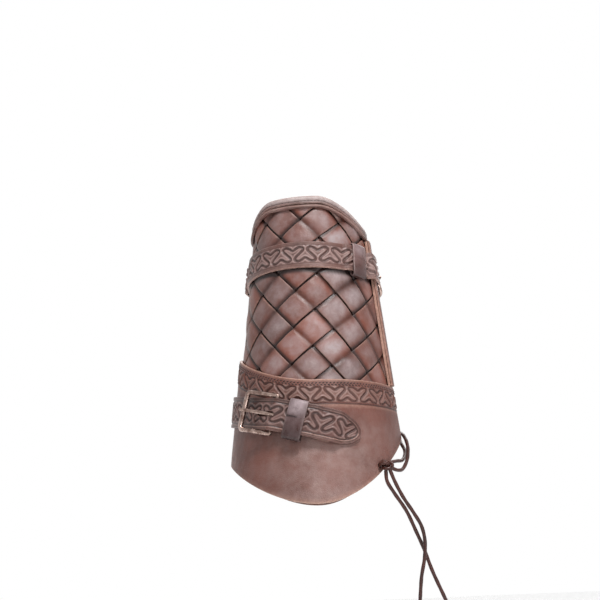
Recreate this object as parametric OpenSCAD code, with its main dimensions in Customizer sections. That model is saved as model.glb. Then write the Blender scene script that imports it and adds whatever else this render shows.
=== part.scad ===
// Forearm bracer of waxed leather: a shell that wraps the arm and laces at the back, a woven
// front, an embossed cuff with a pointed flap, and two buckled straps.
// The hand end points up, the front faces -Y, and the origin is on the arm's axis at the elbow end.

/* [Forearm cone] */
// Radius of the shell's outer face at the elbow end
elbow_r = 68; // [62:1:76]
// Radius lost for each millimetre towards the hand
taper = 0.1137; // [0.1:0.0005:0.125]
// Thickness of the shell leather
shell_t = 2.5; // [2:0.1:3]
// Turn of the right back edge, in degrees from the front
right_turn = 149; // [146:1:152]
// Turn of the left back edge, in degrees from the front
left_turn = -175; // [-178:1:-172]

/* [Hand end] */
// Height of the hand end at the sides
side_len = 232; // [226:1:245]
// Rise of the arch above the sides
arch_rise = 17.5; // [10:0.5:22]
// Turn of the middle of the arch
front_turn = -16; // [-20:1:-12]
// Half of the flat crown of the arch, in degrees
arch_flat = 25; // [15:1:30]
// Degrees over which the arch falls to the sides
arch_fade = 60; // [50:1:70]
// Further fall of the hand end towards the right
arch_fall = 8; // [0:1:8]
// Width of the folded trim
trim_w = 7; // [6:0.5:9]
// Thickness of the trim leather
trim_t = 1.6; // [1.2:0.1:2]
// Width of the piping below the trim
piping_w = 3; // [2.5:0.1:3.5]
// Height of the piping
piping_h = 2.2; // [1.6:0.1:2.6]

/* [Cuff] */
// Height of the cuff's upper edge at the front
cuff_len = 96; // [92:1:100]
// Rise of the cuff's upper edge towards the left
cuff_rise = 30; // [20:1:34]
// Fall of the cuff's upper edge towards the right
cuff_fall = 3; // [0:0.5:4]
// Degrees over which the upper edge rises or falls
cuff_fade = 110; // [100:1:120]
// Rise of the flap's lower edge towards the right
flap_rise_right = 56; // [50:1:58]
// Rise of the flap's lower edge towards the left
flap_rise_left = 37; // [30:1:42]
// Degrees over which the lower edge rises
flap_fade = 95; // [88:1:100]
// Thickness of the cuff leather
cuff_t = 2.5; // [2:0.1:3]
// Distance of the felt padding from the flap's edge
pad_inset = 2.5; // [2:0.5:6]

/* [Woven front] */
// Distance between neighbouring strips
pitch = 21.5; // [20:0.5:24]
// Gap between neighbouring strips
strip_gap = 1.5; // [1.2:0.1:2]
// Thickness of a strip
strip_t = 1.3; // [1:0.1:1.5]
// Lean of the weave to the right, in degrees
weave_lean = 5.1; // [0:0.1:8]
// Turn of the middle of the woven front
window_turn = -19; // [-21:1:-17]
// Half the width of the woven front, in degrees
window_half = 90; // [87:1:91]
// Swell of a strip between its crossings
swell = 0.66; // [0.4:0.02:0.8]
// Roundness of a strip across its width
crown = 0.4; // [0.2:0.05:0.5]

/* [Side panels] */
// Thickness of the panel leather
panel_t = 2.3; // [2:0.1:2.6]
// Width of the edging strip on a panel's front edge, in degrees
edging_turn = 5.5; // [4.5:0.5:6]
// Thickness of the edging strip
edging_t = 1.4; // [1:0.1:1.8]

/* [Straps] */
// Thickness of the strap leather
strap_t = 1.8; // [1.5:0.1:2.2]
// Width of the upper strap
upper_w = 22; // [18:0.5:24]
// Width of the lower strap
lower_w = 25; // [22:0.5:27]
// Thickness of the folded leather that holds a buckle, and of a keeper
fold_t = 1.2; // [1:0.1:1.4]
// Length of a keeper along its strap
keeper_len = 12; // [9:0.5:14]
// Radius of a buckle's heel bar
bar_r = 1.5; // [1.3:0.1:1.8]
// Radius of a buckle's front bar
front_bar_r = 2.1; // [1.8:0.1:2.4]
// Distance between the bars of the lower buckle
lower_reach = 29; // [26:0.5:31]
// Distance between the bars of the upper buckle
upper_reach = 19; // [18:0.5:21]
// Width of a buckle tongue
tongue_w = 3; // [2.5:0.1:3.5]
// Height of the upper strap's middle at the front
upper_level = 199; // [196:0.5:202]
// Slope of the upper strap at the front, in degrees
upper_slope = -2; // [-3:0.5:0]
// Turn of the upper buckle's heel bar
upper_heel_turn = 116; // [114:1:117]
// Turn of the upper keeper
upper_keeper_turn = 46; // [40:1:47]
// Height of the lower strap's middle at its keeper
lower_level = 65.5; // [63:0.5:67]
// Slope of the lower strap at its keeper, in degrees
lower_slope = -15; // [-17:0.5:-12]
// Turn of the lower buckle's heel bar
lower_heel_turn = -27; // [-30:1:-24]
// Turn of the lower strap's tip
lower_tip_turn = 28; // [24:1:34]
// Height of the raised rim along a strap's sides
rim_h = 0.4; // [0.2:0.05:0.6]
// Distance over which a strap narrows to its tip
tip_len = 20; // [14:1:24]
// Distance by which a keeper hangs out below its strap
keeper_slack = 3; // [0:0.5:4]

/* [Lacing] */
// Rows of eyelets
eyelet_rows = 5; // [4:1:5]
// Height of the lowest eyelets
eyelet_low = 68; // [67:0.5:70]
// Distance between rows of eyelets
eyelet_step = 34; // [33:0.5:35]
// Outer radius of an eyelet's barrel
barrel_r = 2.6; // [2.4:0.1:2.8]
// Wall of an eyelet's barrel
barrel_wall = 0.7; // [0.5:0.1:0.8]
// Radius of the lace
lace_r = 1.5; // [1.3:0.05:1.6]

/* [Hidden] */
skin = 0.3;
weld = 0.0001;
half_angle = atan(taper);
apex_z = elbow_r / taper;
column_step = 7;

weave_turn = 2.2;
weave_z = 154;
weave_origin = to_pattern(weave_turn, weave_z);
search_step = 4;
search_reach = 45 * search_step;
strip_w = pitch - strip_gap;
edge_lift = (strip_t + skin) / 2;
weave_mid = skin + edge_lift + swell + strip_t / 2;
weave_h = weave_mid + edge_lift + swell + strip_t / 2;
least_lines = 6;
tuck_turn = 5;
tuck_low = 8;
slope_turn = 12;

cuff_top = skin + cuff_t;
edging_top = weave_h + panel_t + edging_t + 2 * skin;

eyelet_inset = 7;
flange_r = barrel_r + 1.7;
flange_t = 0.8;
gap_mid = (right_turn + left_turn + 360) / 2;

// Curve from 0 to 1 with level ends
function fade(x) = let (t = min(max(x, 0), 1)) t * t * (3 - 2 * t);
function unit(v) = v / norm(v);

// Point over the shell at a turn and height, h millimetres out along the leather's normal
function on_cone(turn, z, h) =
  let (r = elbow_r - taper * z + h * cos(half_angle))
  [r * sin(turn), -r * cos(turn), z + h * sin(half_angle)];

// The flat cutting pattern: the cone unrolled, with the apex at [0, 0] and the hand end up
function to_pattern(turn, z) =
  let (rho = (apex_z - z) / cos(half_angle), phi = turn * sin(half_angle))
  [rho * sin(phi), -rho * cos(phi)];
function pattern_turn(p) = atan2(p.x, -p.y) / sin(half_angle);
function pattern_z(p) = apex_z - norm(p) * cos(half_angle);
function bent(p, h) = on_cone(pattern_turn(p), pattern_z(p), h);

// Outlines of the pieces, as heights over the turn
function hand_edge(turn) =
  side_len + arch_rise * (1 - fade((abs(turn - front_turn) - arch_flat) / arch_fade))
    - arch_fall * fade((turn - 40) / arch_fade);
function elbow_edge(turn) =
  (turn < 0 ? flap_rise_left : flap_rise_right) * fade(abs(turn) / flap_fade);
function cuff_edge(turn) =
  cuff_len + (turn < 0 ? cuff_rise : -cuff_fall) * fade(abs(turn) / cuff_fade);

// Height of whatever lies over the weave, and steps down to the shell beside it
function beside(turn) = abs(turn - window_turn) - window_half;
function over_weave(turn, late = 0) =
  skin + weave_h * (1 - fade((beside(turn) - tuck_turn - 1 - late) / slope_turn));

// Grid lines from a to b, no more than step apart
function steps(a, b, step) = let (n = ceil(abs(b - a) / step)) [for (i = [0:n]) a + (b - a) * i / n];
function rest_of(list) = [for (i = [1:len(list) - 1]) list[i]];

// Turns at which every layer has a column, so that the layers nest; closer together on the slopes
slope_start = window_half + tuck_turn + 1;
slope_end = slope_start + slope_turn;
side_turns = concat(
  rest_of(steps(0, slope_start, column_step)),
  rest_of(steps(slope_start, slope_end, 4)),
  rest_of(steps(slope_end, 200, column_step))
);
all_turns = concat(
  [for (i = [len(side_turns) - 1:-1:0]) window_turn - side_turns[i]],
  [window_turn],
  [for (d = side_turns) window_turn + d]
);
function columns(from, to) = concat([from], [for (t = all_turns) if (t > from + 1 && t < to - 1) t], [to]);

// Splits a four-cornered face and drops a triangle whose corners meet
function split(p, q) = [
  for (t = [[q[0], q[1], q[2]], [q[0], q[2], q[3]]])
    if (min([for (i = [0:2]) norm(p[t[i]] - p[t[(i + 1) % 3]])]) > weld) t
];

// A bent sheet between two faces given as functions of u and v
module sheet(us, vs, inner, outer) {
  m = len(us);
  n = len(vs);
  points = [for (face = [outer, inner]) for (u = us) for (v = vs) face(u, v)];
  at = function(side, i, j) (side * m + i) * n + j;
  broad = [
    for (i = [0:m - 2]) for (j = [0:n - 2]) each [
      [at(0, i, j), at(0, i, j + 1), at(0, i + 1, j + 1), at(0, i + 1, j)],
      [at(1, i, j), at(1, i + 1, j), at(1, i + 1, j + 1), at(1, i, j + 1)]
    ]
  ];
  ends = [
    for (i = [0:m - 2]) each [
      [at(0, i, 0), at(0, i + 1, 0), at(1, i + 1, 0), at(1, i, 0)],
      [at(0, i + 1, n - 1), at(0, i, n - 1), at(1, i, n - 1), at(1, i + 1, n - 1)]
    ]
  ];
  sides = [
    for (j = [0:n - 2]) each [
      [at(0, 0, j + 1), at(0, 0, j), at(1, 0, j), at(1, 0, j + 1)],
      [at(0, m - 1, j), at(0, m - 1, j + 1), at(1, m - 1, j + 1), at(1, m - 1, j)]
    ]
  ];
  polyhedron(points, [for (q = concat(broad, ends, sides)) each split(points, q)]);
}

// Sheet around the cone between two edges, with a height and a thickness over turn and share v
module wrap(from, to, low, high, under, thick, vs = [0, 1]) {
  level = function(turn, v) low(turn) + (high(turn) - low(turn)) * v;
  sheet(
    columns(from, to), vs,
    function(turn, v) on_cone(turn, level(turn, v), under(turn)),
    function(turn, v) on_cone(turn, level(turn, v), under(turn) + thick)
  );
}

// Profile of [distance below the hand edge, height] swept round the hand end
module swept_edge(profile) {
  turns = columns(left_turn, right_turn);
  n = len(profile(0));
  m = len(turns);
  points = [for (turn = turns) for (p = profile(turn)) on_cone(turn, hand_edge(turn) - p.x, p.y)];
  skins = [
    for (i = [0:m - 2]) for (j = [0:n - 1])
      [i * n + j, i * n + (j + 1) % n, (i + 1) * n + (j + 1) % n, (i + 1) * n + j]
  ];
  polyhedron(points, concat(
    [[for (j = [n - 1:-1:0]) j]],
    [for (q = skins) each split(points, q)],
    [[for (j = [0:n - 1]) (m - 1) * n + j]]
  ));
}

// Places its children over the shell: X along the strap, Y towards the hand, Z outwards
module over_shell(place, h = 0) {
  rotate([0, 0, place[0]])
    translate([0, taper * place[1] - elbow_r, place[1]])
      rotate([90 - half_angle, 0, 0])
        rotate([0, 0, place[2]])
          translate([0, 0, h])
            children();
}

// The shell and its outer layers

module shell_body() {
  wrap(
    left_turn, right_turn,
    function(turn) elbow_edge(turn),
    function(turn) hand_edge(turn) - trim_t - skin,
    function(turn) -shell_t, shell_t
  );
}

module shell() {
  color("#5d4038")
    difference() {
      shell_body();
      eyelet_holes();
      rivet_holes();
    }
}

module top_trim() {
  inner = -shell_t - skin;
  color("#7a5a50")
    swept_edge(function(turn) let (o = over_weave(turn)) [
      [trim_w, o],
      [trim_w, o + trim_t * 0.7],
      [trim_w - 0.8, o + trim_t],
      [trim_t, o + trim_t],
      [0, o],
      [0, inner],
      [trim_t, inner - trim_t],
      [trim_w, inner - trim_t],
      [trim_w, inner],
      [trim_t, inner],
      [trim_t, o]
    ]);
}

module top_piping() {
  d = trim_w + 2 * skin;
  color("#8d6c60")
    swept_edge(function(turn) let (o = over_weave(turn)) [
      [d + piping_w, o],
      [d + piping_w, o + piping_h * 0.55],
      [d + piping_w * 0.75, o + piping_h],
      [d + piping_w * 0.25, o + piping_h],
      [d, o + piping_h * 0.55],
      [d, o]
    ]);
}

module panel(from, to, under, thick) {
  wrap(
    from, to,
    function(turn) cuff_edge(turn) + 2 * skin,
    function(turn) hand_edge(turn) - trim_w - piping_w - 4 * skin,
    under, thick
  );
}

module right_panel() {
  color("#6d5149")
    difference() {
      panel(window_turn + window_half, right_turn, function(turn) over_weave(turn), panel_t);
      eyelet_holes();
      rivet_holes();
    }
}

module left_panel() {
  color("#6d5149")
    difference() {
      panel(left_turn, window_turn - window_half, function(turn) over_weave(turn), panel_t);
      eyelet_holes();
      rivet_holes();
    }
}

module edging(side) {
  edge = window_turn + side * (window_half - 0.5);
  color("#9b7a6c")
    panel(
      min(edge, edge + side * edging_turn), max(edge, edge + side * edging_turn),
      function(turn) weave_h + panel_t + 2 * skin, edging_t
    );
}

module cuff() {
  color("#7d5f56")
    difference() {
      wrap(
        left_turn, right_turn,
        function(turn) elbow_edge(turn), function(turn) cuff_edge(turn),
        function(turn) over_weave(turn), cuff_t, [0, 0.5, 1]
      );
      eyelet_holes();
      rivet_holes();
    }
}

// Felt that fills the cuff's front out to the height of the weave
module cuff_padding() {
  edge = window_half + tuck_turn;
  color("#4a3b34")
    difference() {
      wrap(
        window_turn - edge, window_turn + edge,
        function(turn) elbow_edge(turn) + pad_inset,
        function(turn) cuff_edge(turn) - tuck_low - 2 * skin,
        function(turn) skin, weave_h - skin
      );
      rivet_holes();
    }
}

// The weave: strips cut straight and laid over two and under two, so that the twill line runs
// up the arm. Family 0 rises to the right, family 1 falls to the right.

function family_angle(family) = 45 - weave_lean + 90 * family;
function woven(family, a, b) =
  let (d = family_angle(family)) weave_origin + a * [cos(d), sin(d)] + b * [-sin(d), cos(d)];

// Whether a point of the pattern lies where strips are
function in_window(p) =
  let (turn = pattern_turn(p), z = pattern_z(p))
  beside(turn) < tuck_turn
    && z > cuff_edge(turn) - tuck_low
    && z < hand_edge(turn) - trim_t - 2 * skin;

// End of the line at b, found between a point inside the window and one outside it
function line_end(family, b, in, out, n = 14) =
  n == 0 ? in
  : let (mid = (in + out) / 2)
    in_window(woven(family, mid, b)) ? line_end(family, b, mid, out, n - 1)
    : line_end(family, b, in, mid, n - 1);

// Both ends of the strip's line at b, or undef where it misses the window
function line_span(family, b) =
  let (found = [
    for (a = [-search_reach:search_step:search_reach]) if (in_window(woven(family, a, b))) a
  ])
  len(found) < 2 ? undef
  : [
    line_end(family, b, found[0], found[0] - search_step),
    line_end(family, b, found[len(found) - 1], found[len(found) - 1] + search_step)
  ];

// 1 where the strip passes over the other family in cell n, and -1 where it passes under
function passes(family, k, n) =
  let (m = family == 0 ? n - k : -k - 1 - n, column = (m % 4 + 4) % 4, rising = column == 0 || column == 3)
  (family == 0) == rising ? 1 : -1;

// Middle height of a strip at a along it and side across it: level at the crossings' edges,
// swelling in between, and rounded across where it lies on top
function strip_height(family, k, a, side) =
  let (
    n = floor(a / pitch),
    x = a - (n + 0.5) * pitch,
    half = strip_w / 2,
    here = passes(family, k, n),
    next = passes(family, k, n + sign(x)),
    bulge = max(0, 1 - pow(x / half, 2)),
    out = max(0, abs(x) - half) / strip_gap
  )
  weave_mid + edge_lift * (here * (1 - out) + next * out)
    + here * swell * bulge - max(0, here) * crown * pow(side / half, 2) * bulge;

// Shares of a strip's half width, to either side, at which its line crosses the window
function strip_tries(family, k) = [
  for (t = [-1:0.1:1]) if (line_span(family, (k + 0.5) * pitch + t * strip_w / 2) != undef) t
];
// Numbers of the strips of a family of which enough lies in the window to be cut
function strips(family) = [for (k = [-7:7]) if (len(strip_tries(family, k)) > least_lines) k];

// Room in which the strips are cut off: sideways under the panels, below the cuff and the trim
module weave_room() {
  edge = window_half + tuck_turn;
  wrap(
    window_turn - edge, window_turn + edge,
    function(turn) cuff_edge(turn) - tuck_low,
    function(turn) hand_edge(turn) - trim_t - 2 * skin,
    function(turn) -1, weave_h + 4
  );
}

module strip(family, k) {
  middle = (k + 0.5) * pitch;
  spans = [for (t = strip_tries(family, k)) line_span(family, middle + t * strip_w / 2)];
  from = floor((min([for (s = spans) s[0]]) - 3) / pitch);
  to = floor((max([for (s = spans) s[1]]) + 3) / pitch);
  along = [for (n = [from:to]) for (t = [0, 0.3, 0.7, 1]) n * pitch + strip_gap / 2 + t * strip_w];
  across = [-strip_w / 2, 0, strip_w / 2];
  face = function(offset) function(a, b)
    bent(woven(family, a, middle + b), strip_height(family, k, a, b) + offset);
  intersection() {
    sheet(along, across, face(-strip_t / 2), face(strip_t / 2));
    weave_room();
  }
}

// Straps. A line is [turn, height, slope] of a point of the strap's middle, and s runs along it
// from that point, measured on the shell.

function line_angle(line) = line[2] + line[0] * sin(half_angle);
function strap_point(line, s, w) =
  let (d = line_angle(line))
  to_pattern(line[0], line[1]) + s * [cos(d), sin(d)] + w * [-sin(d), cos(d)];
function place_at(line, s, w = 0) =
  let (p = strap_point(line, s, w), turn = pattern_turn(p))
  [turn, pattern_z(p), line_angle(line) - turn * sin(half_angle)];
// Distance along the line to a turn
function reach(line, turn) =
  let (
    phi = turn * sin(half_angle),
    ray = [sin(phi), -cos(phi)],
    d = line_angle(line)
  )
  -cross(to_pattern(line[0], line[1]), ray) / cross([cos(d), sin(d)], ray);
// Radius of the shell along the strap at a place
function strap_radius(place) =
  (elbow_r - taper * place[1]) / cos(half_angle) / pow(cos(place[2]), 2);

keeper_play = 0.5;
upper_line = [0, upper_level, upper_slope];
lower_line = [-15, lower_level, lower_slope];
upper_heel = place_at(upper_line, reach(upper_line, upper_heel_turn));
lower_heel = place_at(lower_line, reach(lower_line, lower_heel_turn));

// What differs between the two buckle sets: place, width, reach of the buckle, height of what
// lies below the chape, room for the keeper's leg below it, length of the chape, and fall of the
// buckle's frame for each millimetre of its reach
upper_set = [upper_heel, upper_w, upper_reach, skin + panel_t + skin, 0, 16, 0];
lower_set = [
  lower_heel, lower_w, lower_reach, skin + weave_h + cuff_t + skin, fold_t + 2 * keeper_play, 41, 0.1
];
function set_base(set) = set[3] + set[4];

run_fit = 0.08;
side_gap = 0.75;
side_w = 3.4;
heel_round = bar_r + run_fit + fold_t;
tongue_ring = bar_r + run_fit + 1.5;
fold_len = 8;
keeper_start = 10;
drop_start = keeper_start + keeper_len + 6;
drop_len = 5;
rivet_r = 1.2;
rivet_head_r = 3;
rivet_head_h = 1.4;
flat_head_r = 2.6;
flat_head_h = 0.7;
washer_t = 0.8;

// Middle height of the heel bar, and of the front bar, which the strap pulls down
function heel_h(set) = set_base(set) + heel_round;
function front_h(set) = heel_h(set) - set[6] * set[2];

// Distances along a strap at which it and the chape below it have their columns
stations = concat(
  steps(0, fold_len, 2),
  rest_of(steps(fold_len, drop_start, 3.4)),
  rest_of(steps(drop_start, drop_start + drop_len, 1.7)),
  rest_of(steps(drop_start + drop_len, drop_start + 60, 3.4))
);

// Underside of the chape's lower layer, which comes down behind the keeper
function chape_base(set, s) = set_base(set) - set[4] * fade((s - drop_start) / drop_len);
// Top of the chape where its two layers have met
function chape_top(set, s) =
  chape_base(set, s) + 2 * fold_t + skin
    + (2 * heel_round - 2 * fold_t - skin) * (1 - fade(s / fold_len));

// Underside of the strap over the heel bar, and where it leaves what it lies on
function crest_h(set) = heel_h(set) + tongue_ring + skin;
function leave_angle(set) =
  let (r = strap_radius(set[0])) acos((r + set[3]) / (r + crest_h(set)));
function leave_s(set) = -leave_angle(set) * PI / 180 * strap_radius(set[0]);

// Underside of the strap: lying, then straight up to the heel bar, then down over the chape and
// the flat heads of its rivets
function strap_under(set, s, lying) =
  let (
    r = strap_radius(set[0]),
    turn = s / r * 180 / PI + leave_angle(set),
    end = set[5] + 2,
    over = function(s) chape_top(set, s) + skin
      + (flat_head_h + 0.2) * fade((s - chape_rivet(set) + flat_head_r + 4) / 3)
  )
  s < leave_s(set) ? lying
  : s < 0 ? (r + set[3]) / cos(turn) - r
  : s < fold_len ? crest_h(set) + (over(fold_len) - crest_h(set)) * fade(s / fold_len)
  : s < end ? over(s)
  : lying + (over(end) - lying) * (1 - fade((s - end) / 8));

// Strap from one end to a rounded tip, with a raised rim along both sides
module strap_body(set, marks, lying) {
  tip_end = 4.5;
  place = set[0];
  half = set[1] / 2;
  tip = marks[len(marks) - 1];
  width = function(s) half * sqrt(max(0.04, 1 - pow(max(0, s - tip + tip_len) / tip_len, 2)));
  us = concat(
    [for (i = [0:len(marks) - 3]) each let (g = steps(marks[i], marks[i + 1], marks[i] < -30 ? 7.5 : 3.6))
      [for (j = [0:len(g) - 2]) g[j]]],
    [for (s = stations) if (s < tip - tip_end - 1) s],
    steps(tip - tip_end, tip, 1.5)
  );
  shares = [[-1, rim_h], [-0.86, rim_h], [-0.78, 0], [0.78, 0], [0.86, rim_h], [1, rim_h]];
  spot = function(s, v) strap_point(place, s, shares[v][0] * width(s));
  under = function(s, v) strap_under(set, s, lying(pattern_turn(spot(s, v))));
  sheet(
    us, [for (v = [0:len(shares) - 1]) v],
    function(s, v) bent(spot(s, v), under(s, v)),
    function(s, v) bent(spot(s, v), under(s, v) + strap_t + shares[v][1])
  );
}

// Slot through which the tongue passes, in front of the heel bar
module tongue_slot(set) {
  length = 12;
  slot_w = tongue_w + 1.2;
  over_shell(set[0])
    for (x = [-length, 0])
      translate([x, 0, 0])
        cylinder(r = slot_w / 2, h = 40, $fn = 32);
  over_shell(set[0])
    translate([-length, -slot_w / 2, 0])
      cube([length, slot_w, 40]);
}

module strap_holes(set, spots) {
  for (s = spots)
    over_shell(place_at(set[0], s), -5)
      cylinder(r = 2, h = 40, $fn = 24);
}

// Height on which the upper strap lies: the weave, its keeper's leg, the edging, and the panel
edging_wide = 4.5;
edging_clear = 2.5;
keeper_clear = 3.8;
function upper_lying(turn) =
  let (
    d = beside(turn),
    weave = skin + weave_h,
    edge = edging_top + skin,
    panel = weave + panel_t + skin,
    near = 1 - fade((abs(turn - upper_keeper_turn) - keeper_turn - keeper_clear) / 4)
  )
  weave + (edge - weave) * fade((d + edging_wide + 4) / 4)
    - (edge - panel) * fade((d - edging_turn - edging_clear) / 5)
    - (weave - over_weave(turn, 2))
    + (fold_t + 2 * skin) * near;
keeper_turn = keeper_len / 2 / (elbow_r - taper * upper_level) * 180 / PI;
function lower_lying(turn) = over_weave(turn, 2) + cuff_t + skin;

// Turns at which what lies under the upper strap changes its height
edging_ramp = [
  window_half - edging_wide - 4, window_half - edging_wide, window_half - edging_wide + 2,
  window_half + edging_turn, window_half + edging_turn + edging_clear
];
ramp_marks = concat(edging_ramp, [slope_end + 2]);
upper_marks = concat(
  [for (i = [len(ramp_marks) - 1:-1:0]) window_turn - ramp_marks[i]],
  [for (side = [-1, 1], d = side > 0 ? [0, 4] : [4, 0])
    upper_keeper_turn + side * (keeper_turn + keeper_clear + d)],
  [for (d = ramp_marks) window_turn + d]
);
lower_marks = [for (d = [slope_end + 2, slope_start + 2]) window_turn - d];

upper_end_turn = -160;
lower_end_turn = -157;
upper_end = reach(upper_heel, upper_end_turn);
lower_end = reach(lower_heel, lower_end_turn);
upper_tip = upper_set[5] + 1;
lower_tip = reach(lower_heel, lower_tip_turn);

module upper_strap() {
  color("#84655b")
    difference() {
      strap_body(
        upper_set,
        concat(
          [upper_end], [for (turn = upper_marks) reach(upper_heel, turn)],
          [leave_s(upper_set), 0, upper_tip]
        ),
        function(turn) upper_lying(turn)
      );
      tongue_slot(upper_set);
      strap_holes(upper_set, [-45, -27]);
      rivet_holes(anchor_rivets(upper_set, upper_end));
    }
}

module lower_strap() {
  color("#84655b")
    difference() {
      strap_body(
        lower_set,
        concat(
          [lower_end], [for (turn = lower_marks) reach(lower_heel, turn)],
          [leave_s(lower_set), 0, lower_tip]
        ),
        function(turn) lower_lying(turn)
      );
      tongue_slot(lower_set);
      strap_holes(lower_set, [-34]);
      rivet_holes(anchor_rivets(lower_set, lower_end));
    }
}

// Place of a chape's rivets along the strap
function chape_rivet(set) = set[5] - flat_head_r - 1.2;

// Point of the flat plane through a set's strap as [distance along the strap, height]
function rolled(set, p) =
  let (r = strap_radius(set[0]), q = [p.x, p.y + r])
  [atan2(q.x, q.y) * PI / 180 * r, norm(q) - r];

// Leather folded round the heel bar, both layers riveted down behind the keeper
module chape(set) {
  half = set[1] / 2 - 0.5;
  run = concat([for (s = stations) if (s > 0 && s < set[5] - 1) s], [set[5]]);
  bar = [0, heel_h(set)];
  ribbon = concat(
    [for (i = [len(run) - 1:-1:0]) let (s = run[i], h = chape_base(set, s)) [[s, h], [s, h + fold_t]]],
    [for (a = steps(270, 90, 18)) let (v = [cos(a), sin(a)])
      [rolled(set, bar + heel_round * v), rolled(set, bar + bar_r * v)]],
    [for (s = run) let (h = chape_top(set, s)) [[s, h], [s, h - fold_t]]]
  );
  at = function(p, w) bent(strap_point(set[0], p[0], w), p[1]);
  difference() {
    sheet(
      [for (i = [0:len(ribbon) - 1]) i], steps(-half, half, 7),
      function(i, w) at(ribbon[i][1], w),
      function(i, w) at(ribbon[i][0], w)
    );
    over_shell(set[0], heel_h(set))
      rotate([90, 0, 0])
        cylinder(r = bar_r + run_fit, h = 2 * set[1], center = true, $fn = 48);
    over_shell(set[0])
      translate([-8, -tongue_w / 2 - 0.6, 0])
        cube([14, tongue_w + 1.2, 40]);
    rivet_holes(chape_rivets(set));
  }
}
module upper_chape() { color("#6d5149") chape(upper_set); }
module lower_chape() { color("#6d5149") chape(lower_set); }

// Bar along Z with rounded ends
module round_bar(r, length) {
  rotate_extrude($fn = 48)
    polygon(concat(
      [[0, -length / 2]],
      [for (a = [-75:15:0]) [r * cos(a), r * sin(a) - length / 2 + r]],
      [for (a = [0:15:75]) [r * cos(a), r * sin(a) + length / 2 - r]],
      [[0, length / 2]]
    ));
}

// Heel-bar buckle: straight bars, and side bars bowed clear of the strap
module buckle(set) {
  inner_w = set[1] + 2 * side_gap;
  outer_w = inner_w + 2 * side_w;
  front = [-set[2], front_h(set)];
  heel = [0, heel_h(set)];
  bow = 1.6;
  thick = 3;
  mid = function(t) heel + (front - heel) * t + [0, bow * sin(180 * t)];
  ts = [for (i = [0:8]) i / 8];
  over_shell(set[0])
    rotate([90, 0, 0]) {
      translate([heel.x, heel.y, 0]) cylinder(r = bar_r, h = outer_w - 1, center = true, $fn = 48);
      translate([front.x, front.y, 0]) round_bar(front_bar_r, outer_w);
      for (side = [-1, 1])
        translate([0, 0, side * (inner_w + side_w) / 2]) {
          linear_extrude(side_w, center = true)
            polygon(concat(
              [for (t = ts) mid(t) + [0, thick / 2]],
              [for (i = [8:-1:0]) mid(ts[i]) - [0, thick / 2]]
            ));
          translate([heel.x, heel.y, 0])
            cylinder(r = thick / 2 + 0.3, h = side_w, center = true, $fn = 32);
        }
    }
}
module upper_buckle() { color("#8c857b") buckle(upper_set); }
module lower_buckle() { color("#8c857b") buckle(lower_set); }

// Tongue rolled round the heel bar and resting on the front bar
module tongue(set) {
  rest = front_h(set) + front_bar_r + 0.15;
  far = -set[2];
  bar = heel_h(set);
  over_shell(set[0])
    rotate([90, 0, 0])
      difference() {
        union() {
          translate([0, bar, 0]) cylinder(r = tongue_ring, h = tongue_w, center = true, $fn = 48);
          linear_extrude(tongue_w, center = true)
            polygon([
              [0, bar + tongue_ring - 0.05],
              [far - 2.5, rest + 1.6],
              [far - 4, rest + 0.7],
              [far - 3.6, rest - 0.2],
              [far, rest],
              [-tongue_ring * 0.85, bar + 0.8]
            ]);
        }
        translate([0, bar, 0]) cylinder(r = bar_r + run_fit, h = tongue_w + 2, center = true, $fn = 48);
      }
}
module upper_tongue() { color("#9a9388") tongue(upper_set); }
module lower_tongue() { color("#9a9388") tongue(lower_set); }

// Keeper: a closed loop of leather bent with the strap, between two heights over the shell
keeper_room = 0.8;
module keeper(place, width, bottom, top) {
  r = strap_radius(place);
  sweep = keeper_len / r * 180 / PI;
  inner_w = width + 2 * keeper_room + keeper_slack;
  over_shell(place)
    translate([0, 0, -r])
      rotate([90, 0, 0])
        rotate_extrude(start = 90 - sweep / 2, angle = sweep, $fn = 96)
          difference() {
            translate([r + bottom, -width / 2 - keeper_room - fold_t])
              square([top - bottom, inner_w + 2 * fold_t]);
            translate([r + bottom + fold_t, -width / 2 - keeper_room])
              square([top - bottom - 2 * fold_t, inner_w]);
          }
}
module upper_keeper() {
  bottom = skin + weave_h;
  color("#75605f")
    keeper(
      place_at(upper_line, reach(upper_line, upper_keeper_turn)), upper_w,
      bottom, bottom + 2 * fold_t + 2 * skin + strap_t + rim_h + keeper_room
    );
}
module lower_keeper() {
  s = keeper_start + keeper_len / 2;
  color("#75605f")
    keeper(
      place_at(lower_heel, s), lower_w, lower_set[3] + keeper_play - skin,
      chape_top(lower_set, fold_len) + skin + strap_t + rim_h + keeper_room + fold_t
    );
}

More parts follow.
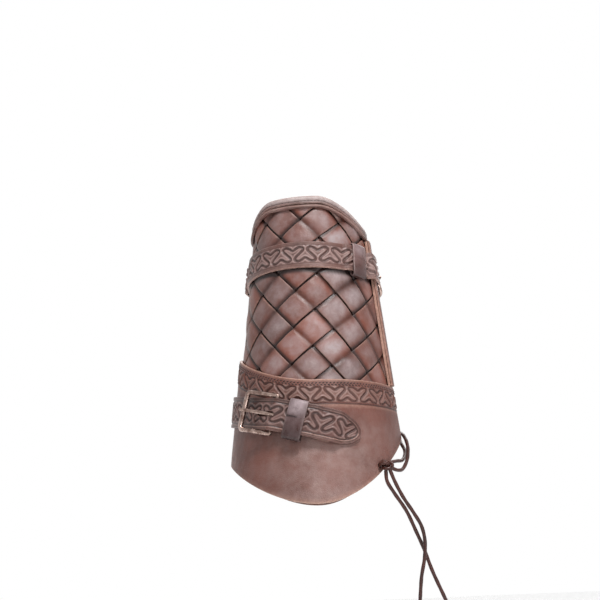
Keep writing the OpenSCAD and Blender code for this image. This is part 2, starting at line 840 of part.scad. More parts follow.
// Rivets, as [place, height of the leather under the head, head radius, head height]. A chape's
// rivets have flat heads, which lie under the strap.
function anchor_rivets(set, end) = [
  for (side = [-1, 1])
    [place_at(set[0], end + 6, side * set[1] / 4), anchor_top(set), rivet_head_r, rivet_head_h]
];
function anchor_top(set) = (set == upper_set ? upper_set[3] : cuff_top + skin) + strap_t;
function chape_rivets(set) = [
  for (side = [-1, 1])
    let (s = chape_rivet(set))
      [place_at(set[0], s, side * set[1] / 4), chape_top(set, s), flat_head_r, flat_head_h]
];
rivet_spots = concat(
  chape_rivets(upper_set), anchor_rivets(upper_set, upper_end),
  chape_rivets(lower_set), anchor_rivets(lower_set, lower_end)
);
module rivet_holes(spots = rivet_spots) {
  for (spot = spots)
    over_shell(spot[0], -10)
      cylinder(r = rivet_r + 0.1, h = 40, $fn = 24);
}
module rivet(top, head_r, head_h) {
  low = -shell_t - 0.25;
  rotate_extrude($fn = 48)
    polygon([
      [0, low - washer_t],
      [rivet_head_r - 0.4, low - washer_t],
      [rivet_head_r - 0.4, low],
      [rivet_r, low],
      [rivet_r, top + 0.1],
      [head_r, top + 0.1],
      [head_r, top + 0.3],
      [head_r * 0.8, top + head_h * 0.85],
      [head_r * 0.4, top + head_h],
      [0, top + head_h]
    ]);
}
module rivets() {
  color("#8a7f70")
    for (spot = rivet_spots) over_shell(spot[0]) rivet(spot[1], spot[2], spot[3]);
}

// Eyelets in two rows beside the back gap
eyelet_turns = [right_turn - eyelet_inset, left_turn + eyelet_inset];
eyelet_top = cuff_top + 0.15;
function row_z(i) = eyelet_low + i * eyelet_step;
module eyelet_holes() {
  for (turn = eyelet_turns, i = [0:eyelet_rows - 1])
    over_shell([turn, row_z(i), 0], -10)
      cylinder(r = barrel_r + 0.1, h = 20, $fn = 32);
}
module eyelet() {
  low = -shell_t - 0.25 - flange_t;
  bore = barrel_r - barrel_wall;
  rotate_extrude($fn = 48)
    polygon([
      [bore, low],
      [flange_r - 0.6, low],
      [flange_r - 0.6, low + flange_t],
      [barrel_r, low + flange_t],
      [barrel_r, eyelet_top],
      [flange_r, eyelet_top],
      [flange_r, eyelet_top + flange_t * 0.4],
      [flange_r - 0.6, eyelet_top + flange_t],
      [bore + 0.3, eyelet_top + flange_t],
      [bore, eyelet_top + flange_t * 0.6]
    ]);
}
module eyelets() {
  color("#7f776b")
    for (turn = eyelet_turns, i = [0:eyelet_rows - 1])
      over_shell([turn, row_z(i), 0]) eyelet();
}

// Lacing. Its route passes out of each eyelet, over the leather's edge, across the gap, under
// the other edge and out of the next eyelet down. The two halves pass each other in the gap.
lace_sides = 8;
lace_lie = cuff_top + skin + lace_r + 0.4;
lace_out = eyelet_top + flange_t + lace_r + 0.2;
lace_in = -shell_t - 0.25 - flange_t - lace_r - 0.2;
edge_clear = 1.3;
function lace_turn(side) = side > 0 ? right_turn - eyelet_inset : left_turn + 360 + eyelet_inset;
function lace_edge(side) = side > 0 ? right_turn + edge_clear : left_turn + 360 - edge_clear;
function crossing(side, i, out) =
  let (
    over = on_cone(lace_edge(side), row_z(i) - 2, lace_out - 0.6),
    under = on_cone(lace_edge(-side), row_z(i - 1) + 2, lace_in + 0.6),
    away = [sin(gap_mid), -cos(gap_mid), 0]
  )
  [over, (over + under) / 2 + away * out, under];
// Half of the lacing from the top row down, starting inside on one side
function half_lacing(side, out) = [
  for (i = [eyelet_rows - 1:-1:0])
    let (now = (eyelet_rows - 1 - i) % 2 == 0 ? side : -side)
    each concat(
      [on_cone(lace_turn(now), row_z(i), lace_in), on_cone(lace_turn(now), row_z(i), lace_out)],
      i > 0 ? crossing(now, i, out) : []
    )
];
function reversed(list) = [for (i = [len(list) - 1:-1:0]) list[i]];
top_bar = [
  for (side = [1, -1]) on_cone(lace_edge(side), row_z(eyelet_rows - 1), lace_in + 0.3)
];
right_exit = on_cone(lace_turn(1) - 7, eyelet_low - 1.5, lace_lie);
left_exit = on_cone(lace_turn(-1) - 5, eyelet_low - 0.5, lace_lie);
lacing_route = concat(
  [right_exit], reversed(half_lacing(1, 2.2)), top_bar, half_lacing(-1, -2.2), [left_exit]
);

// Tube along a route, its rings carried on without twist
function tangent(p, i) =
  unit(unit(p[min(i + 1, len(p) - 1)] - p[i == len(p) - 1 ? i - 1 : i])
    + unit(p[i == 0 ? 1 : i] - p[max(i - 1, 0)]));
function square_to(v, t) = unit(v - (v * t) * t);
module tube(route, radius) {
  m = len(route);
  first = square_to([0.3, 0.2, 1], tangent(route, 0));
  normals = [
    for (i = 0, v = first; i < m; i = i + 1, v = i < m ? square_to(v, tangent(route, i)) : v) v
  ];
  ring = function(i) let (t = tangent(route, i), v = normals[i], w = cross(t, v)) [
    for (j = [0:lace_sides - 1])
      let (a = 360 * j / lace_sides) route[i] + radius * (cos(a) * v + sin(a) * w)
  ];
  n = lace_sides;
  polyhedron(
    [for (i = [0:m - 1]) each ring(i)],
    concat(
      [[for (j = [0:n - 1]) j]],
      [for (i = [0:m - 2], j = [0:n - 1])
        [i * n + j, (i + 1) * n + j, (i + 1) * n + (j + 1) % n, i * n + (j + 1) % n]],
      [[for (j = [n - 1:-1:0]) (m - 1) * n + j]]
    )
  );
}

module lacing() { color("#3a1f18") tube(lacing_route, lace_r); }

// Loose ends of the lace: two leads from the lowest eyelets to a knot on the flap, and two tails
knot_at = [52, -55.5, 29];
right_lead_turns = [[127, 64.5], [117, 62.5], [107, 60.5]];
right_lead_route = concat(
  [right_exit],
  [for (p = right_lead_turns) on_cone(p[0], p[1], lace_lie)],
  [[68, -2, 59], [69.5, -10, 56], [71, -17, 51], [71.5, -24, 44.5], [70.5, -31, 37],
   [68, -38, 30.5], [64.5, -44.5, 26], [60, -50.5, 25.5], [55, -54.5, 27.5]]
);
left_lead_turns = [[176, 65], [165, 63.5], [154, 61.5], [143, 60], [132, 58.5], [121, 56.5], [111, 54.5]];
left_lead_route = concat(
  [left_exit],
  [for (p = left_lead_turns) on_cone(p[0], p[1], lace_lie)],
  [[67, 2, 53], [68, -6.5, 49], [69.5, -15, 43.5], [68.5, -24, 38],
   [65.5, -34, 34], [61, -43, 33], [54.5, -53, 31]]
);
long_tail_route = [
  [51.5, -56, 25], [52, -56, 17], [57, -54, 8], [66, -50, -6], [73, -46, -22],
  [78, -43, -34], [84, -42, -52], [93, -41, -74], [96, -40, -82]
];
short_tail_route = [
  [54.5, -57.5, 25.5], [58, -57, 16], [64, -54, 4], [71, -51, -7], [77, -49, -18],
  [79, -49, -29], [78, -49, -42], [75, -48, -56], [73, -47, -73], [72, -47, -81]
];
// Two turns of the lace drawn tight
module lace_knot() {
  turn_r = 2 * lace_r;
  color("#3a1f18")
    translate(knot_at)
      rotate([0, 25, -40])
        rotate_extrude($fn = 48)
          polygon(concat(
            [[0, -2 * lace_r]],
            [for (m = [-1, 1], a = [-90:22.5:90])
              [turn_r * 0.5 + lace_r * cos(a), m * lace_r + lace_r * sin(a) * (1 - 0.001 * m)]],
            [[0, 2 * lace_r]]
          ));
}

shell();
top_trim();
top_piping();
right_panel();
left_panel();
edging(1);  // right_edging
edging(-1);  // left_edging
cuff();
cuff_padding();
for (i = [1:len(strips(0))])
  color("#8a6a62") strip(0, strips(0)[i - 1]);
for (i = [1:len(strips(1))])
  color("#9a7569") strip(1, strips(1)[i - 1]);
upper_strap();
upper_keeper();
upper_chape();
upper_buckle();
upper_tongue();
lower_strap();
lower_keeper();
lower_chape();
lower_buckle();
lower_tongue();
rivets();
eyelets();
lacing();
color("#3a1f18") tube(right_lead_route, lace_r);  // lace_lead_right
color("#3a1f18") tube(left_lead_route, lace_r);  // lace_lead_left
lace_knot();
color("#3a1f18") tube(long_tail_route, lace_r);  // lace_tail_long
color("#3a1f18") tube(short_tail_route, lace_r);  // lace_tail_short
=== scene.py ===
import math

import bpy
import numpy as np
from mathutils import Matrix, Vector


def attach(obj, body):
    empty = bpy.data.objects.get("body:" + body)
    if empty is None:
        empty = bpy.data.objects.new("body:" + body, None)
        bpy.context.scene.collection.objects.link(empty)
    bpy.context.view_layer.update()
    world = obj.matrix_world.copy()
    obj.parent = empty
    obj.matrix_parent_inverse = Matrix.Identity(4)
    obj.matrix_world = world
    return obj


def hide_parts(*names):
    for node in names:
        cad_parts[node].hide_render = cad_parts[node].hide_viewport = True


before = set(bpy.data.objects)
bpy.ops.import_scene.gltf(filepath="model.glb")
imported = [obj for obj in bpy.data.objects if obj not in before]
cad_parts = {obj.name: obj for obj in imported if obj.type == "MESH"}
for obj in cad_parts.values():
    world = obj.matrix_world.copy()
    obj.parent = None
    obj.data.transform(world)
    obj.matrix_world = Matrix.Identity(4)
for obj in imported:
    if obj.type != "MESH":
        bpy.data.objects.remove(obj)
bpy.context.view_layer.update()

# ---- Shell ---------------------------------------------------------------------------------
# The bracer's body: one sheet of thick, dark, vegetable-tanned leather, cut to a fan and bent
# to a cone. Its hand end is arched, its elbow end comes to a point at the front, and its two
# back edges stay apart and are laced.

elbow_radius, taper = 68.0, 0.1137
half_angle = math.atan(taper)
right_turn, left_turn = 149.0, -175.0
shell_thick = 2.5
side_level, arch_turn, arch_rise, arch_flat, right_fall = 232.0, -16.0, 17.5, 25.0, 8.0
left_rise, right_rise, flap_half_turn = 37.0, 56.0, 95.0


def on_cone(turn, z, height):
    """Point over the cone, in metres: turn is in degrees from the front, z along the axis and
    height out along the leather's normal, both in millimetres."""
    radius = elbow_radius - taper * z + height * math.cos(half_angle)
    t = np.radians(turn)
    return np.stack(
        [radius * np.sin(t), -radius * np.cos(t), z + height * math.sin(half_angle)], -1) * 0.001


def fade(x):
    """Curve from 0 to 1 with level ends: 3t^2 - 2t^3."""
    t = np.clip(x, 0, 1)
    return t * t * (3 - 2 * t)


def hand_edge(turn):
    """Height of the hand end: a flat-topped arch at the front, and lower at the right."""
    arch = 1 - fade((np.abs(turn - arch_turn) - arch_flat) / 60)
    return side_level + arch_rise * arch - right_fall * fade((turn - 40) / 60)


def elbow_edge(turn):
    """Height of the elbow end: 0 at the flap's point, rising unequally to both sides."""
    return np.where(turn < 0, left_rise, right_rise) * fade(np.abs(turn) / flap_half_turn)


def rim_drop(distance, radius):
    """How far a quarter-round rim lies below the face at a distance from the edge."""
    inside = np.clip(radius - distance, 0, radius)
    return radius - np.sqrt(radius * radius - inside * inside)


def turns_between(start, end, step):
    """Turns from start to end with closely spaced ones at both ends, for the rounded rim."""
    rim = np.array([0, 0.12, 0.35, 0.75])
    middle = np.linspace(start + 1.2, end - 1.2, max(2, int((end - start) / step)))
    return np.concatenate([start + rim, middle, end - rim[::-1]])


def sheet_grid(turns, low_marks, step, high_marks, low, high):
    """Turn and level of each point of a sheet. Each column runs from low to high: the marks are
    fixed distances from its two ends, and the steps in between are even."""
    low_marks, high_marks = np.array(low_marks, float), np.array(high_marks, float)[::-1]
    inner_low, inner_high = low + low_marks[-1], high - high_marks[0]
    count = max(2, int(np.ceil(np.max(inner_high - inner_low) / step)))
    share = np.linspace(0, 1, count + 1)[1:-1]
    levels = np.concatenate([
        low[:, None] + low_marks, inner_low[:, None] + (inner_high - inner_low)[:, None] * share,
        high[:, None] - high_marks], axis=1)
    return np.broadcast_to(turns[:, None], levels.shape), levels


def solid_from(name, points, faces, values, body="bracer", sharp=45):
    """Object from arrays of points and four-cornered faces, with a value for each point under
    each name in values, smooth except at edges sharper than the given angle."""
    used, back = np.unique(faces, return_inverse=True)
    faces = back.reshape(faces.shape).astype(np.int32)
    mesh = bpy.data.meshes.new(name)
    mesh.vertices.add(len(used))
    mesh.vertices.foreach_set("co", np.ascontiguousarray(points[used], np.float32).ravel())
    mesh.loops.add(faces.size)
    mesh.loops.foreach_set("vertex_index", faces.ravel())
    mesh.polygons.add(len(faces))
    mesh.polygons.foreach_set("loop_start", np.arange(0, faces.size, 4, dtype=np.int32))
    mesh.update(calc_edges=True)
    for key, value in values.items():
        layer = mesh.attributes.new(key, "FLOAT", "POINT")
        layer.data.foreach_set("value", np.ascontiguousarray(value[used], np.float32))
    mesh.polygons.foreach_set("use_smooth", np.ones(len(faces), bool))
    mesh.set_sharp_from_angle(angle=math.radians(sharp))
    piece = bpy.data.objects.new(name, mesh)
    bpy.context.scene.collection.objects.link(piece)
    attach(piece, body)
    return piece


def leather_piece(name, outer, inner, marks, body="bracer", keep=True, sharp=45):
    """Closed sheet between two grids of points: both faces, and a wall wherever a kept cell
    borders on the outside or on a cell that is cut away. marks holds named values for each
    grid point of the outer face, which the material reads."""
    m, n = outer.shape[:2]
    keep = np.broadcast_to(keep, (m - 1, n - 1))
    top = np.arange(m * n).reshape(m, n)
    under = top + m * n
    i, j = np.nonzero(keep)
    faces = [np.stack([top[i, j], top[i + 1, j], top[i + 1, j + 1], top[i, j + 1]], 1),
             np.stack([under[i, j], under[i, j + 1], under[i + 1, j + 1], under[i + 1, j]], 1)]
    framed = np.pad(keep, 1)
    row, column = framed[1:-1], framed[:, 1:-1]
    for edge, start, end in (
            (row[:, 1:] & ~row[:, :-1], (0, 0), (1, 0)), (row[:, :-1] & ~row[:, 1:], (1, 0), (0, 0)),
            (column[1:] & ~column[:-1], (0, 1), (0, 0)), (column[:-1] & ~column[1:], (0, 0), (0, 1))):
        i, j = np.nonzero(edge)
        a, b = (i + start[0], j + start[1]), (i + end[0], j + end[1])
        faces.append(np.stack([top[a], under[a], under[b], top[b]], 1))
    points = np.concatenate([outer.reshape(-1, 3), inner.reshape(-1, 3)])
    values = {k: np.tile(np.broadcast_to(v, (m, n)).ravel(), 2) for k, v in marks.items()}
    return solid_from(name, points, np.concatenate(faces), values, body, sharp)


def colour(code):
    """sRGB hex colour as a linear one with full alpha."""
    parts = [int(code[i:i + 2], 16) / 255 for i in (1, 3, 5)]
    return [c / 12.92 if c <= 0.04045 else ((c + 0.055) / 1.055) ** 2.4 for c in parts] + [1]


def feed(tree, node, inputs):
    """Sets or links a node's inputs: each is a value, a hex colour or another node's output."""
    for key, value in inputs.items():
        if isinstance(value, bpy.types.NodeSocket):
            tree.links.new(value, node.inputs[key])
        else:
            node.inputs[key].default_value = colour(value) if isinstance(value, str) else value


def add(tree, kind, inputs, out=0, **settings):
    """Adds a shader node with its inputs and settings, and gives one of its outputs."""
    node = tree.nodes.new("ShaderNode" + kind)
    for key, value in settings.items():
        setattr(node, key, value)
    feed(tree, node, inputs)
    return node.outputs[out]


def new_finish(name):
    """New material: itself, its nodes, its shader and the place on the piece."""
    material = bpy.data.materials.new(name)
    material.use_nodes = True
    tree = material.node_tree
    return material, tree, tree.nodes["Principled BSDF"], add(tree, "TexCoord", {}, "Object")


def tanned_leather(name, deep, middle, grey, red, rubbed, hollow, rough=0.45, grain=0.25, patchy=1.0):
    """Vegetable-tanned leather, dyed, waxed and rubbed. The dye lies in clouds 30 mm wide and is
    red in patches 40 mm wide where it is thin. The wax is grey in smears 11 mm wide. Rubbed
    edges are pale and what was pressed in is near black. Creases are 2.4 mm apart and pores
    0.8 mm. The marks tint, wax, wear and hollow on the mesh say where. On some pieces the
    wax mark also carries a painted highlight and the hollow mark a painted shade."""
    material, tree, shader, place = new_finish(name)
    clouds, patches, smears, creases = [add(tree, "TexNoise", {
        "Vector": place, "Scale": scale, "Detail": detail, "Roughness": coarse, "Distortion": bend})
        for scale, detail, coarse, bend in (
            (34, 5, 0.6, 0), (24, 3, 0.5, 0.6), (90, 6, 0.65, 0), (420, 4, 0.7, 0))]
    pores = add(tree, "TexVoronoi", {"Vector": place, "Scale": 1300}, feature="F1")
    thin, smeared, uneven, broken, gloss = [add(tree, "MapRange", {
        "Value": value, "From Min": low, "From Max": high, "To Min": least, "To Max": most})
        for value, low, high, least, most in (
            (patches, 0.5, 0.7, 0, 0.4 * patchy), (smears, 0.42, 0.72, 0, 0.35 * patchy),
            (smears, 0.3, 0.7, 0.55, 1.15), (creases, 0.3, 0.62, 0.35, 1),
            (smears, 0.3, 0.7, rough - 0.07, rough + 0.12))]
    tint, wax, wear, pressed = [
        add(tree, "Attribute", {}, "Fac", attribute_name=key) for key in ("tint", "wax", "wear", "hollow")]
    reddened = add(tree, "Math", {0: thin, 1: tint}, operation="ADD", use_clamp=True)
    waxed = add(tree, "Math", {0: wax, 1: uneven, 2: smeared}, operation="MULTIPLY_ADD", use_clamp=True)
    worn = add(tree, "Math", {0: wear, 1: broken}, operation="MULTIPLY", use_clamp=True)
    face = add(tree, "ValToRGB", {"Fac": clouds})
    for stop, share, code in zip(face.node.color_ramp.elements, (0.36, 0.62), (deep, middle)):
        stop.position, stop.color = share, colour(code)
    # pressed mixes in the hollow colour: pressed lines, and painted shade where a piece puts it there.
    for share, code in ((reddened, red), (waxed, grey), (worn, rubbed), (pressed, hollow)):
        face = add(tree, "Mix", {0: share, 6: face, 7: code}, 2, data_type="RGBA")
    relief = add(tree, "Math", {0: pores, 1: creases}, operation="ADD")
    bump = add(tree, "Bump", {"Strength": grain, "Distance": 0.0004, "Height": relief})
    feed(tree, shader, {
        "Base Color": face, "Roughness": gloss, "Normal": bump, "Specular IOR Level": 0.32})
    return material


def dress(piece, material, slot, *nodes):
    """Gives a piece its material, and lets it stand for CAD nodes, which it hides. slot is not used."""
    piece.data.materials.append(material)
    if nodes:
        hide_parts(*nodes)


turns = turns_between(left_turn, right_turn, 1.5)
columns, levels = sheet_grid(turns, [0, 0.3, 0.9], 4, [0], elbow_edge(turns), hand_edge(turns) - 1.9)
edge_far = np.minimum(levels - levels[:, :1], 9)
shell = leather_piece(
    "shell_leather", on_cone(columns, levels, -0.05 - rim_drop(edge_far, 0.5)),
    on_cone(columns, levels, -shell_thick + rim_drop(edge_far, 0.5)),
    {"wear": 0.8 * np.exp(-edge_far / 0.8), "hollow": 0.15, "tint": 0.0})
# Dark and dull: the flesh side and the cut edge of thick leather, hardly waxed.
dress(shell, tanned_leather(
    "vegetable_tanned_shell_leather", "#2c1712", "#4a2b22", "#5a3f37", "#5e2f20", "#9c7263", "#140807",
    0.6), "shell_leather", "shell")

# ---- Woven front ---------------------------------------------------------------------------
# Twenty strips of leather 20 mm wide, laid on a slant in two families, over two and under two.
# Each swells where it lies on top, with a soft valley between its two crossings, and its edges
# are rubbed pale. Their ends are tucked under the panels, the cuff and the trim.

window_turn, window_half = -19.0, 90.0
pitch, strip_gap, strip_thick = 21.5, 1.5, 1.3
half_strip = (pitch - strip_gap) / 2
edge_lift, swell, crown, valley, weave_middle = 0.8, 0.8, 0.5, 0.55, 2.41
lattice_turn, lattice_level, lattice_angle = 2.2, 154.0, 45 - 5.1
under_panel, under_cuff, under_trim = 4.6, 7.5, 2.6
upper_strap_level, upper_strap_slope = 199.0, -2.0
cuff_level, cuff_rise, cuff_fall, cuff_half_turn = 96, 30, 3, 110
apex = elbow_radius / taper


def front_share(turn):
    """Share round the cone: a bell curve that is full at the front. Pieces use it to give the sides painted
    shade, more red and less wax, and the strips paler rims there.
    """
    return 0.2 + 0.8 * np.exp(-((turn - 8) / 48) ** 2)


def to_pattern(turn, z):
    """Point of the flat cutting pattern: the cone unrolled about its apex."""
    rho, phi = (apex - z) / math.cos(half_angle), np.radians(turn * math.sin(half_angle))
    return np.stack([rho * np.sin(phi), -rho * np.cos(phi)], -1)


def from_pattern(p):
    """Turn and height of a point of the flat pattern."""
    turn = np.degrees(np.arctan2(p[..., 0], -p[..., 1])) / math.sin(half_angle)
    return turn, apex - np.hypot(p[..., 0], p[..., 1]) * math.cos(half_angle)


def bent(p, height):
    """Point of the flat pattern, bent onto the cone at a height over it."""
    turn, z = from_pattern(p)
    return on_cone(turn, z, height)


def ruled(start, degrees, s, w):
    """Point of the pattern, s along a straight line from its start at an angle and w across."""
    d = math.radians(degrees)
    s, w = np.broadcast_arrays(np.asarray(s, float), np.asarray(w, float))
    return start + s[..., None] * [math.cos(d), math.sin(d)] + w[..., None] * [-math.sin(d), math.cos(d)]


def cuff_edge(turn):
    """Height of the cuff's upper edge: highest at the left, falling a little to the right."""
    return cuff_level + np.where(turn < 0, cuff_rise, -cuff_fall) * fade(np.abs(turn) / cuff_half_turn)


def along_strip(family, k, a, side):
    """Point of the pattern, a along strip k of the family and side across it."""
    start = to_pattern(lattice_turn, lattice_level)
    return ruled(start, lattice_angle + 90 * family, a, (k + 0.5) * pitch + side)


def in_window(family, k, share):
    """Where a line along strip k, at a share of its half width, lies where strips are."""
    a = np.arange(-190, 190, 0.5)
    turn, z = from_pattern(along_strip(family, k, a, share * half_strip))
    return a[(np.abs(turn - window_turn) < window_half + under_panel) & (z > cuff_edge(turn) - under_cuff)
             & (z < hand_edge(turn) - under_trim)]


def strips_of(family):
    """Numbers of the strips that cross the window with a third of their lines or more."""
    lines = np.linspace(-1, 1, 21)
    return [k for k in range(-7, 8) if sum(len(in_window(family, k, t)) > 4 for t in lines) > 6]


def passes(family, k, n):
    """1 where strip k passes over the other family in cell n, and -1 where it passes under."""
    column = ((n - k) if family == 0 else (-k - 1 - n)) % 4
    rising = (column == 0) | (column == 3)
    return np.where(rising == (family == 0), 1.0, -1.0)


def strip_shape(family, k, a, side):
    """Middle height of a strip: level where it changes sides, swelling as a parabola in each
    cell, dipping in a bell curve between its two cells on top, and falling off as a parabola to
    both edges there. Also whether it passes over here and next, and its place in its cell."""
    n = np.floor(a / pitch)
    x = a - (n + 0.5) * pitch
    here, after = passes(family, k, n), passes(family, k, n + np.sign(x))
    bulge = np.maximum(0, 1 - (x / half_strip) ** 2)
    out = fade((np.abs(x) - half_strip + 1.2) / (strip_gap / 2 + 1.2)) / 2
    level = here * (1 - out) + after * out
    fall = np.maximum(0, here) * crown * (side / half_strip) ** 2 * (0.3 + 0.7 * bulge)
    dip = valley * np.exp(-((np.abs(x) - pitch / 2) / 2.0) ** 2) * ((here > 0) & (after > 0))
    return weave_middle + edge_lift * level + here * swell * bulge - fall - dip, here, after, x, n


def woven_strip(name, family, k):
    """One strip on a grid along and across it, its lines ending at the window's outline."""
    across = np.concatenate([[-1, -0.985, -0.95, -0.88], np.linspace(-0.75, 0.75, 9), [0.88, 0.95, 0.985, 1]])
    lines = [(t, hit[0], hit[-1]) for t in across if len(hit := in_window(family, k, t)) > 1]
    across, first, last = np.array(lines).T
    share = np.linspace(0, 1, int((last - first).max() / 0.9) + 2)[:, None]
    a = first + share * (last - first)
    side = np.broadcast_to(across * half_strip, a.shape)
    height, here, after, x, n = strip_shape(family, k, a, side)
    height = height + 0.10 * np.sin(a * 0.7 + k * 2.1) * np.sin(side * 0.25 + n)
    rim = half_strip - np.abs(side)
    drop = rim_drop(rim, 0.55)
    flat = along_strip(family, k, a, side)
    over = here > 0
    near = np.where(over & (here != after), np.clip(1 - (half_strip - np.abs(x)) / 5.5, 0, 1), 0)
    between = np.where(over & (here == after), np.exp(-((pitch / 2 - np.abs(x)) / 2.6) ** 2), 0)
    cast = np.modf(np.abs(np.sin((n * 3 + k * 7 + family * 5) * 12.9898) * 43758.5))[0]
    # shine: a painted highlight over each crown, given through the wax mark together with real wax.
    shine = np.clip(1 - (x / half_strip) ** 2, 0, 1) * (1 - 0.5 * (side / half_strip) ** 2)
    front = front_share(from_pattern(flat)[0])
    slope = math.radians(-upper_strap_slope)
    below_strap = (flat - to_pattern(0.0, upper_strap_level)) @ [math.sin(slope), math.cos(slope)]
    # Painted shadow of the upper strap: a dark band about 3 mm wide below its lower edge, added to hollow.
    painted_strap_shadow = fade((below_strap + 16) / 3) * (below_strap < 0)
    # hollow is painted shade: dark where a strip dives under the other family, in the valley between its two
    # cells on top, near black where it passes under, along its rims and towards the sides of the cone, with
    # the painted shadow of the upper strap.
    marks = {
        "wear": np.clip((0.9 - 0.45 * front) * np.exp(-rim / 0.7), 0, 1),
        "hollow": np.clip(0.85 * near ** 2.2 + 0.5 * between + 0.95 * (here < 0) + 0.3 * np.exp(-rim / 1.6)
                          + 0.2 * (1 - front) + 0.9 * painted_strap_shadow, 0, 0.94),
        "wax": over * shine * (0.85 - 0.4 * (family == 0) + 0.4 * (cast - 0.5)) * front,
        "tint": np.clip(0.05 + 0.2 * (family == 0) + 0.4 * near + 0.4 * (cast > 0.78)
                        + 0.3 * (1 - front), 0, 0.9)}
    return leather_piece(
        name, bent(flat, height + strip_thick / 2 - drop), bent(flat, height - strip_thick / 2 + drop * 0.4),
        marks, sharp=60)


# Grey wax lies on the crowns, where the grey is also a painted sheen, and the red dye shows beside it: each
# crossing shines on its own.
strip_leather = tanned_leather(
    "waxed_strap_leather", "#3a1f19", "#5d3931", "#998a8a", "#86412a", "#c39788", "#100505", 0.36, patchy=0.8)
for family, word in enumerate(["rising", "falling"]):
    for i, k in enumerate(strips_of(family)):
        strip = woven_strip(f"{word}_strip_leather_{i + 1}", family, k)
        dress(strip, strip_leather, "woven_leather", f"{word}_strip_{i + 1}")

# ---- Side panels ---------------------------------------------------------------------------
# A smooth sheet of leather on each side, from the weave round to the lacing. It is glued down
# over the strips' ends, so it lies higher beside the weave and slopes down behind it.

weave_top, skin = 4.52, 0.3
panel_thick, edging_thick = 2.3, 1.4
slope_from, slope_wide = window_half + 6, 12


def waviness(turn, z, size):
    """Slow unevenness of hand-worked leather: a few sine waves that don't line up."""
    return size * (
        np.sin(turn * 0.19 + z * 0.071 + 1.3) + np.sin(turn * 0.083 - z * 0.11 + 0.4)
        + 0.6 * np.sin(turn * 0.41 + z * 0.19 + 2.2) + 0.4 * np.sin(turn * 0.9 - z * 0.33)) / 3


def over_weave(turn, late=0.0):
    """Height of what lies over the weave, sloping down to the shell beside it."""
    return skin + weave_top * (1 - fade((np.abs(turn - window_turn) - slope_from - late) / slope_wide))


def side_sheet(name, start, end, under, thick, rub=0.7):
    """Sheet between the cuff and the piping, with rounded rims that are rubbed pale."""
    turns = turns_between(start, end, 1.2)
    low, high = cuff_edge(turns) + 0.6, hand_edge(turns) - 11.2
    columns, levels = sheet_grid(turns, [0, 0.12, 0.35, 0.8], 4, [0, 0.12, 0.35, 0.8], low, high)
    to_side = np.minimum(columns - start, end - columns) * (elbow_radius - taper * levels) * math.pi / 180
    far = np.minimum(to_side, np.minimum(levels - low[:, None], high[:, None] - levels))
    base = under(columns)
    height = base + thick - rim_drop(far, 0.7) + waviness(columns, levels, 0.12) * fade(far / 4)
    marks = {"wear": rub * np.exp(-far / 0.5), "tint": 0.1,
             "hollow": 0.12 * np.exp(-np.abs(far - 2.2) / 0.4)}
    return leather_piece(name, on_cone(columns, levels, height), on_cone(columns, levels, base), marks)


# Brown with a soft grey bloom of wax and fine pores: the smooth outer leather.
cover_leather = tanned_leather(
    "waxed_cover_leather", "#4b2a22", "#6b433a", "#8f7974", "#7b3826", "#c8a08e", "#180805", 0.4, 0.4, 0.6)
for word, start, end in (("right", window_turn + window_half, right_turn),
                         ("left", left_turn, window_turn - window_half)):
    panel = side_sheet(f"{word}_panel_leather", start, end, over_weave, panel_thick)
    dress(panel, cover_leather, "outer_leather", f"{word}_panel")

# The edging: a narrow strip of leather over each panel's front edge, stitched down. Its cut
# edge and the panel's show as two pale lines beside the weave.

edging_base = weave_top + panel_thick + 2 * skin
for word, side in (("right", 1), ("left", -1)):
    edge = window_turn + side * (window_half - 0.5)
    edging = side_sheet(
        f"{word}_edging_leather", *sorted([edge, edge + side * 5.5]),
        lambda turn: np.full(np.shape(turn), edging_base), edging_thick, 0.45)
    dress(edging, cover_leather, "outer_leather", f"{word}_edging")


def linen_thread(code):
    """Waxed linen thread: a dark matt colour, mottled by a twist 0.5 mm long."""
    thread, tree, shader, place = new_finish("waxed_linen_thread_" + code[1:])
    twist = add(tree, "TexNoise", {"Vector": place, "Scale": 2200, "Detail": 2})
    dark = [c * 0.45 for c in colour(code)[:3]] + [1]
    shade = add(tree, "Mix", {0: twist, 6: dark, 7: code}, 2, data_type="RGBA")
    feed(tree, shader, {"Base Color": shade, "Roughness": 0.7})
    return thread


